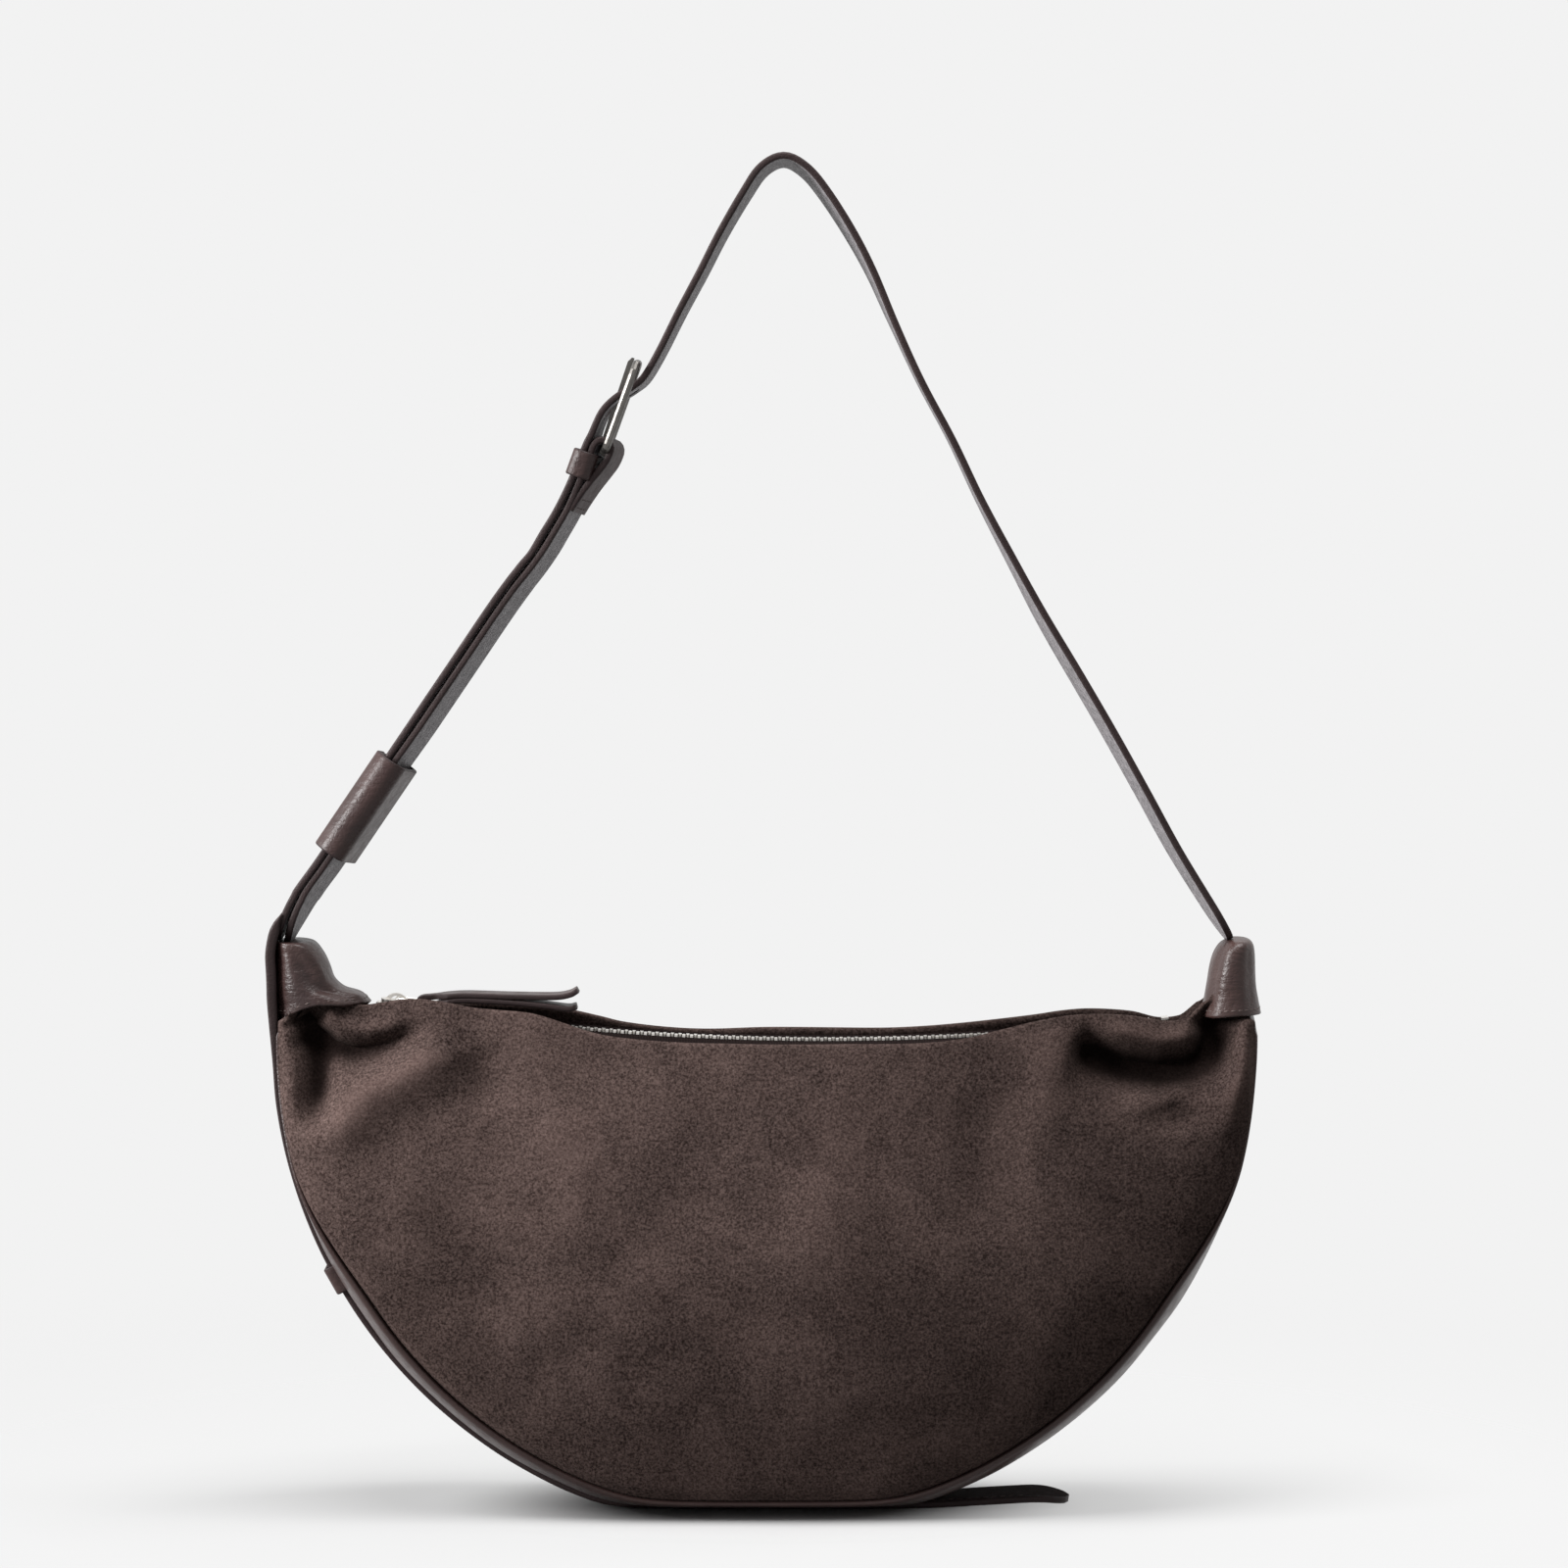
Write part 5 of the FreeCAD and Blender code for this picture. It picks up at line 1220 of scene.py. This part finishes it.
sleeve_at = RUN_LOW_LENGTH - (SLEEVE_FROM_LOW + SLEEVE_SIZE[0] / 2)
spot, along = ARCH.at(sleeve_at)
side = arch_across(sleeve_at)
inward = along.cross(side)
make_loop("Sleeve_Leather", spot + inward * (LAYER_PITCH / 2 + SLEEVE_INWARD), (along, side, inward),
          SLEEVE_SIZE, "sleeve", "strap_sleeve", SLEEVE_CORNER, SLEEVE_LAP, SLEEVE_LAP_AT)
side = arch_across(HEEL_LENGTH - KEEPER_TURN_FROM_HEEL)
make_loop("Buckle_Keeper_Leather", at_buckle(*KEEPER_PLACE), (BUCKLE_UP, side, BUCKLE_UP.cross(side)),
          KEEPER_SIZE, "strap", "buckle_keeper", KEEPER_CORNER)
print("sleeve", SLEEVE_SIZE[0], "mm and keeper", KEEPER_SIZE[0], "mm long")

# %% [markdown]
# ## The tail and its keeper
# The tail is lapped over the strap's outer end above the left cap. It goes on
# round the belly, outside the gusset and through a small loop, and ends in a
# rounded tip that has lifted a little off the floor.

# %% Tail
TAIL_STAND, TAIL_LIFT, TAIL_STEPS = 1.4, 1.4 - BASE_Z, 260
TAIL_AT_CAP = [(-167.6, 207.6), (-169.9, 203.2), (-171.5, 198.8), (-172.3, 193.6), (-172.1, 188.0),
               (-171.9, 182.7), (-171.7, 175.4)]
TAIL_SHARES = (-0.97, -0.91, -0.84, -0.77, -0.70, -0.62, -0.54, -0.46, -0.38, -0.31, -0.25, -0.20)
TAIL_ON_FLOOR = [(-30, 1.25), (0, 1.25), (30, 1.25), (58, 1.6), (80, 2.8), (95, 3.4), (105.5, 1.9)]
TIP_LENGTH, TIP_POWER, LEAST_TIP_SHARE = 14.0, 2.2, 0.02
TAIL_TWIST, TWIST_IN_LENGTH, TWIST_OUT_END, TWIST_OUT_SPAN = -3.0, 12.0, 76.0, 46.0
PARED, DOUBLED, PARED_LENGTH, THINNED, THIN_FROM, THIN_SPAN = 0.35, 1.10, 7.0, 0.45, 26.0, 34.0
KEEPER_SINE, KEEPER_STAND, GUSSET_KEEPER_SIZE, GUSSET_KEEPER_CORNER = 0.8728, 0.9, (10.0, 12.6, 2.2, 1.3), 1.3
round_belly = [outline(share * math.pi / 2, -TAIL_STAND, TAIL_LIFT) for share in TAIL_SHARES]
TAIL = Route(in_plane(TAIL_AT_CAP) + round_belly + in_plane(TAIL_ON_FLOOR))


def tail_width(length):
    """The share of the tail's width at a length: all of it, but for the rounded tip."""
    rest = (TAIL.total - length) / TIP_LENGTH
    if rest > 1:
        return 1.0
    return max(LEAST_TIP_SHARE, math.sqrt(max(0.0, 1 - (1 - rest) ** TIP_POWER)))


def tail_across(length):
    """The tail turns a little below the cap's top, then lies flat on the gusset."""
    turned = ease(length / TWIST_IN_LENGTH) * ease((TWIST_OUT_END - length) / TWIST_OUT_SPAN)
    return turned_across(TAIL, length, TAIL_TWIST * turned)


def tail_thick(length):
    """The lapped end is pared thin, and the tail is doubled where it is sewn to the cap."""
    return PARED + DOUBLED * ease(length / PARED_LENGTH) - THINNED * ease((length - THIN_FROM) / THIN_SPAN)


bm = make_band(TAIL, STRAP_WIDTH, STRAP_THICK, tail_across, TAIL_STEPS, tail_width, tail_thick)
tail_piece = finish_piece("Tail_Leather_Band", bm, [strap_leather, edge_paint, tail_inside],
                          "bag", ("strap_tail",))
paint_faces(tail_piece, STRAP_WIDTH, 1, 2)
keeper_angle = -math.asin(KEEPER_SINE)
keeper_out = Vector((math.sin(keeper_angle), 0, -math.cos(keeper_angle)))
keeper_along = Vector((math.cos(keeper_angle), 0, math.sin(keeper_angle)))
make_loop("Gusset_Keeper_Leather", outline(keeper_angle) + keeper_out * KEEPER_STAND,
          (keeper_along, ACROSS, keeper_out), GUSSET_KEEPER_SIZE, "bag", "gusset_keeper", GUSSET_KEEPER_CORNER)
print("tail", round(TAIL.total), "mm")

# %% [markdown]
# ## End caps
# Each cap is a soft leather hood. It is round in plan at its foot, narrows to
# the strap's root at its top, and its rim rises towards the zip, where the
# left hood runs out in a flared tip. A few pleats run down from the strap.

# %% A point of a hood
PLAN_POWER = 0.88
PLEAT_AT_RIM, PLEAT_IN_SHARE, PLEAT_END_SHARE, PLEAT_OUT_SPAN = 0.25, 0.15, 0.86, 0.4
RIM_SHARE, WOBBLE, WOBBLE_X_SHARE, WOBBLE_SCALE, WOBBLE_SCALE_Z = 0.45, 0.7, 0.4, 0.14, 0.11


def rounded(value):
    """A cosine or sine pushed towards 1, which makes a circle a little squarer."""
    return math.copysign(abs(value) ** PLAN_POWER, value)


def cap_point(u, v, side, rows, rim, pleats):
    """A point of a hood: u goes round it, v from its rim to the middle of its top.

    A row holds the hood's near x, its far x, half its depth and its height.
    """
    position = v * (len(rows) - 1)
    low = min(int(position), len(rows) - 2)
    near, far, half, z = rows[low].lerp(rows[low + 1], position - low)
    ripple = 0.0
    for place, lean, depth, wide in pleats:
        gap = math.remainder(u - place - lean * v, 1.0)
        ripple += depth * math.exp(-(gap / wide) ** 2)
    ripple *= PLEAT_AT_RIM + (1 - PLEAT_AT_RIM) * ease(v / PLEAT_IN_SHARE)
    ripple *= ease((PLEAT_END_SHARE - v) / PLEAT_OUT_SPAN)
    angle = 2 * math.pi * u
    x = (far + near) / 2 + ((far - near) / 2 + ripple) * rounded(math.cos(angle))
    y = (half + ripple) * rounded(math.sin(angle))
    lift = (1 - ease(v / RIM_SHARE)) * rim(x)
    wobble = noise.noise(Vector((x * WOBBLE_SCALE, y * WOBBLE_SCALE, z * WOBBLE_SCALE_Z))) * WOBBLE * (1 - v)
    return Vector((side * (x + wobble * WOBBLE_X_SHARE), y + wobble, z + lift))


print("a diagonal of the hood's plan is at", round(rounded(math.sqrt(0.5)), 3), "of its half width")

# %% [markdown]
# The rows give each hood's outline in the photograph, from the rim up to the
# middle of its top. A pleat is a place round the hood, its lean, its depth
# and its width. Its depth is in millimetres, and the others are in turns.
# The left cap is the more creased of the two.

# %% Caps
CAP_AROUND, CAP_UP, CAP_THICK = 112, 48, 1.5
LEFT_ROWS = Route([
    (137.5, 170.4, 15.8, 172.4), (140.8, 170.5, 15.7, 176.2), (146.2, 170.6, 15.4, 179.4),
    (150.0, 170.6, 15.0, 184.0), (151.8, 170.6, 14.6, 189.0), (153.8, 170.5, 14.2, 193.2),
    (156.8, 170.5, 13.6, 196.9), (160.4, 169.9, 10.9, 197.6), (164.8, 165.0, 0.2, 197.6)], 8).points
RIGHT_ROWS = Route([
    (150.4, 171.8, 15.8, 171.8), (151.8, 170.8, 15.5, 176.5), (152.9, 170.0, 15.1, 182.5),
    (153.9, 169.7, 14.7, 188.5), (155.2, 169.5, 14.3, 193.0), (157.2, 169.0, 13.6, 196.2),
    (159.8, 167.8, 11.8, 197.8), (162.0, 165.9, 7.0, 198.2), (163.9, 164.1, 0.2, 198.3)], 8).points
LEFT_PLEATS = [(0.63, 0.20, -1.9, 0.05), (0.56, 0.16, 0.6, 0.035), (0.90, -0.05, -0.4, 0.04),
               (0.36, 0.0, -1.2, 0.03), (0.28, 0.0, -0.8, 0.02)]
RIGHT_PLEATS = [(0.60, 0.03, -0.7, 0.04), (0.86, -0.02, -0.5, 0.04), (0.36, 0.0, -0.9, 0.02)]


def left_rim(x):
    """How much the left hood's rim rises, more towards the bag's middle."""
    rise, from_x, span, sunk = 4.6, 170.0, 16.0, 0.6
    return rise * ease((from_x - x) / span) - sunk


def right_rim(x):
    """How much the right hood's rim rises, a little more towards its outer end."""
    rise, from_x, span = 0.8, 152.0, 12.0
    return rise * ease((x - from_x) / span)


LEFT_HOOD, RIGHT_HOOD = (-1, LEFT_ROWS, left_rim, LEFT_PLEATS), (1, RIGHT_ROWS, right_rim, RIGHT_PLEATS)
for name, hood, node in (("Left_Cap_Leather", LEFT_HOOD, "left_end_cap"),
                         ("Right_Cap_Leather", RIGHT_HOOD, "right_end_cap")):
    bm = closed_tube(CAP_AROUND, CAP_UP, lambda u, v: cap_point(u, v, *hood), ends=False)
    cap = finish_piece(name, bm, [cap_leather], "bag", (node,))
    add_thickness(cap, CAP_THICK)
print("caps with", len(LEFT_PLEATS), "and", len(RIGHT_PLEATS), "pleats")

# %% [markdown]
# ## The pull tab
# One strip of leather is folded over the link's bar. Its two ends spring
# apart, and the strip is narrow where it passes inside the link.

# %% Pull tab
TAB_WIDTH, TAB_WAIST, TAB_THICK, TAB_STEPS = 12.0, 5.2, 1.9, 200
WAIST_HALF_LENGTH, WAIST_SPAN, TAB_CORNER, TAB_END_SHARE = 6.5, 5.0, 3.0, 0.72
TAB_ROUTE = Route(in_plane([
    (-65.6, 180.4), (-68.5, 178.9), (-74.3, 178.1), (-89.9, 178.3), (-104, 178.7), (-111.5, 178.3),
    (-116.5, 177.9), (-119.8, 177.5), (-121.1, 176.1), (-119.6, 174.7), (-116.0, 175.1), (-108, 176.9),
    (-98, 176.8), (-86, 176.0), (-76, 175.0), (-69, 174.1), (-66.0, 174.7)]))
BAR_LENGTH = TAB_ROUTE.length_near(Vector((-120.9, 0, 176.1)))


def tab_width(length):
    """The share of the tab's width at a length: its waist at the bar, and rounded ends."""
    waist = TAB_WAIST / TAB_WIDTH
    share = waist + (1 - waist) * ease((abs(length - BAR_LENGTH) - WAIST_HALF_LENGTH) / WAIST_SPAN)
    from_end = min(length, TAB_ROUTE.total - length)
    if from_end < TAB_CORNER:
        corner = math.sqrt(max(0.0, 1 - (1 - from_end / TAB_CORNER) ** 2))
        share *= TAB_END_SHARE + (1 - TAB_END_SHARE) * corner
    return share


bm = make_band(TAB_ROUTE, TAB_WIDTH, TAB_THICK, lambda length: ACROSS, TAB_STEPS, tab_width)
tab = finish_piece("Pull_Tab_Leather", bm, [leather, edge_paint], "tab", ("pull_tab",))
paint_faces(tab, TAB_WIDTH, 1)
print("tab", round(TAB_ROUTE.total), "mm")

# %% [markdown]
# ## Stitching
# Each stitch is a short capsule of thread, sunk into the leather as a pulled
# thread is. A row is made of one stitch from each spot to the next.

# %% A row of stitches
STITCH_LONG, STITCH_THICK, STITCH_SUNK = 2.3, 0.34, 0.25
UP = Vector((0, 0, 1))


def stitch_row(bm, spots, outs):
    """Adds one capsule between each pair of spots, sunk along the outward directions."""
    for a, b, out in zip(spots, spots[1:], outs):
        along = (b - a).normalized()
        middle = a.lerp(b, 0.5) - out * (STITCH_THICK * STITCH_SUNK)
        made = bmesh.ops.create_icosphere(bm, subdivisions=1, radius=STITCH_THICK * MM)
        side = along.cross(out).normalized()
        turn = Matrix((side, along, side.cross(along))).transposed()
        for vert in made["verts"]:
            stretched = vert.co.copy()
            stretched.y *= STITCH_LONG / (2 * STITCH_THICK)
            vert.co = middle * MM + turn @ stretched


print("a stitch is", STITCH_LONG, "by", 2 * STITCH_THICK, "mm")

# %% [markdown]
# Two rows close the short strap's fold on each face. A row runs along each
# edge of the tail's last part, and one goes round the rim of each cap.

# %% The rows
FOLD_ROWS, STITCH_PITCH, FOLD_ROW_STEPS = (1.8, 5.2), 3.0, 3
TAIL_ROW_START, TAIL_ROW_STEPS, TAIL_ROW_Y = 16.0, 24, 9.6
CAP_ROW_STEPS, CAP_ROW_SHARE = 30, 0.055

bm = bmesh.new()
for from_end in FOLD_ROWS:
    length = SHORT.total - from_end
    spot, along = SHORT.at(length)
    side = short_across(length)
    out = along.cross(side)
    for face in (-1, 1):
        row = [spot + side * (STITCH_PITCH * step) + out * (face * STRAP_THICK / 2)
               for step in range(-FOLD_ROW_STEPS, FOLD_ROW_STEPS + 1)]
        stitch_row(bm, row, [out * face] * len(row))
finish_piece("Fold_Stitches", bm, [thread], "strap")

bm = bmesh.new()
for edge in (-TAIL_ROW_Y, TAIL_ROW_Y):
    lengths = [TAIL.total - TAIL_ROW_START - STITCH_PITCH * step for step in range(TAIL_ROW_STEPS)]
    row = [TAIL.at(length)[0] + ACROSS * edge + UP * (STRAP_THICK / 2) for length in lengths]
    stitch_row(bm, row, [UP] * len(row))
finish_piece("Tail_Stitches", bm, [thread], "bag")

bm = bmesh.new()
for hood in (LEFT_HOOD, RIGHT_HOOD):
    ring = [cap_point(step / CAP_ROW_STEPS, CAP_ROW_SHARE, *hood) for step in range(CAP_ROW_STEPS + 1)]
    middle = sum(ring[:-1], Vector()) / CAP_ROW_STEPS
    outs = [Vector((spot.x - middle.x, spot.y - middle.y, 0)).normalized() for spot in ring]
    stitch_row(bm, ring, outs)
finish_piece("Cap_Stitches", bm, [thread], "bag")
print("stitches sewn in", 2 * len(FOLD_ROWS) + 4, "rows")
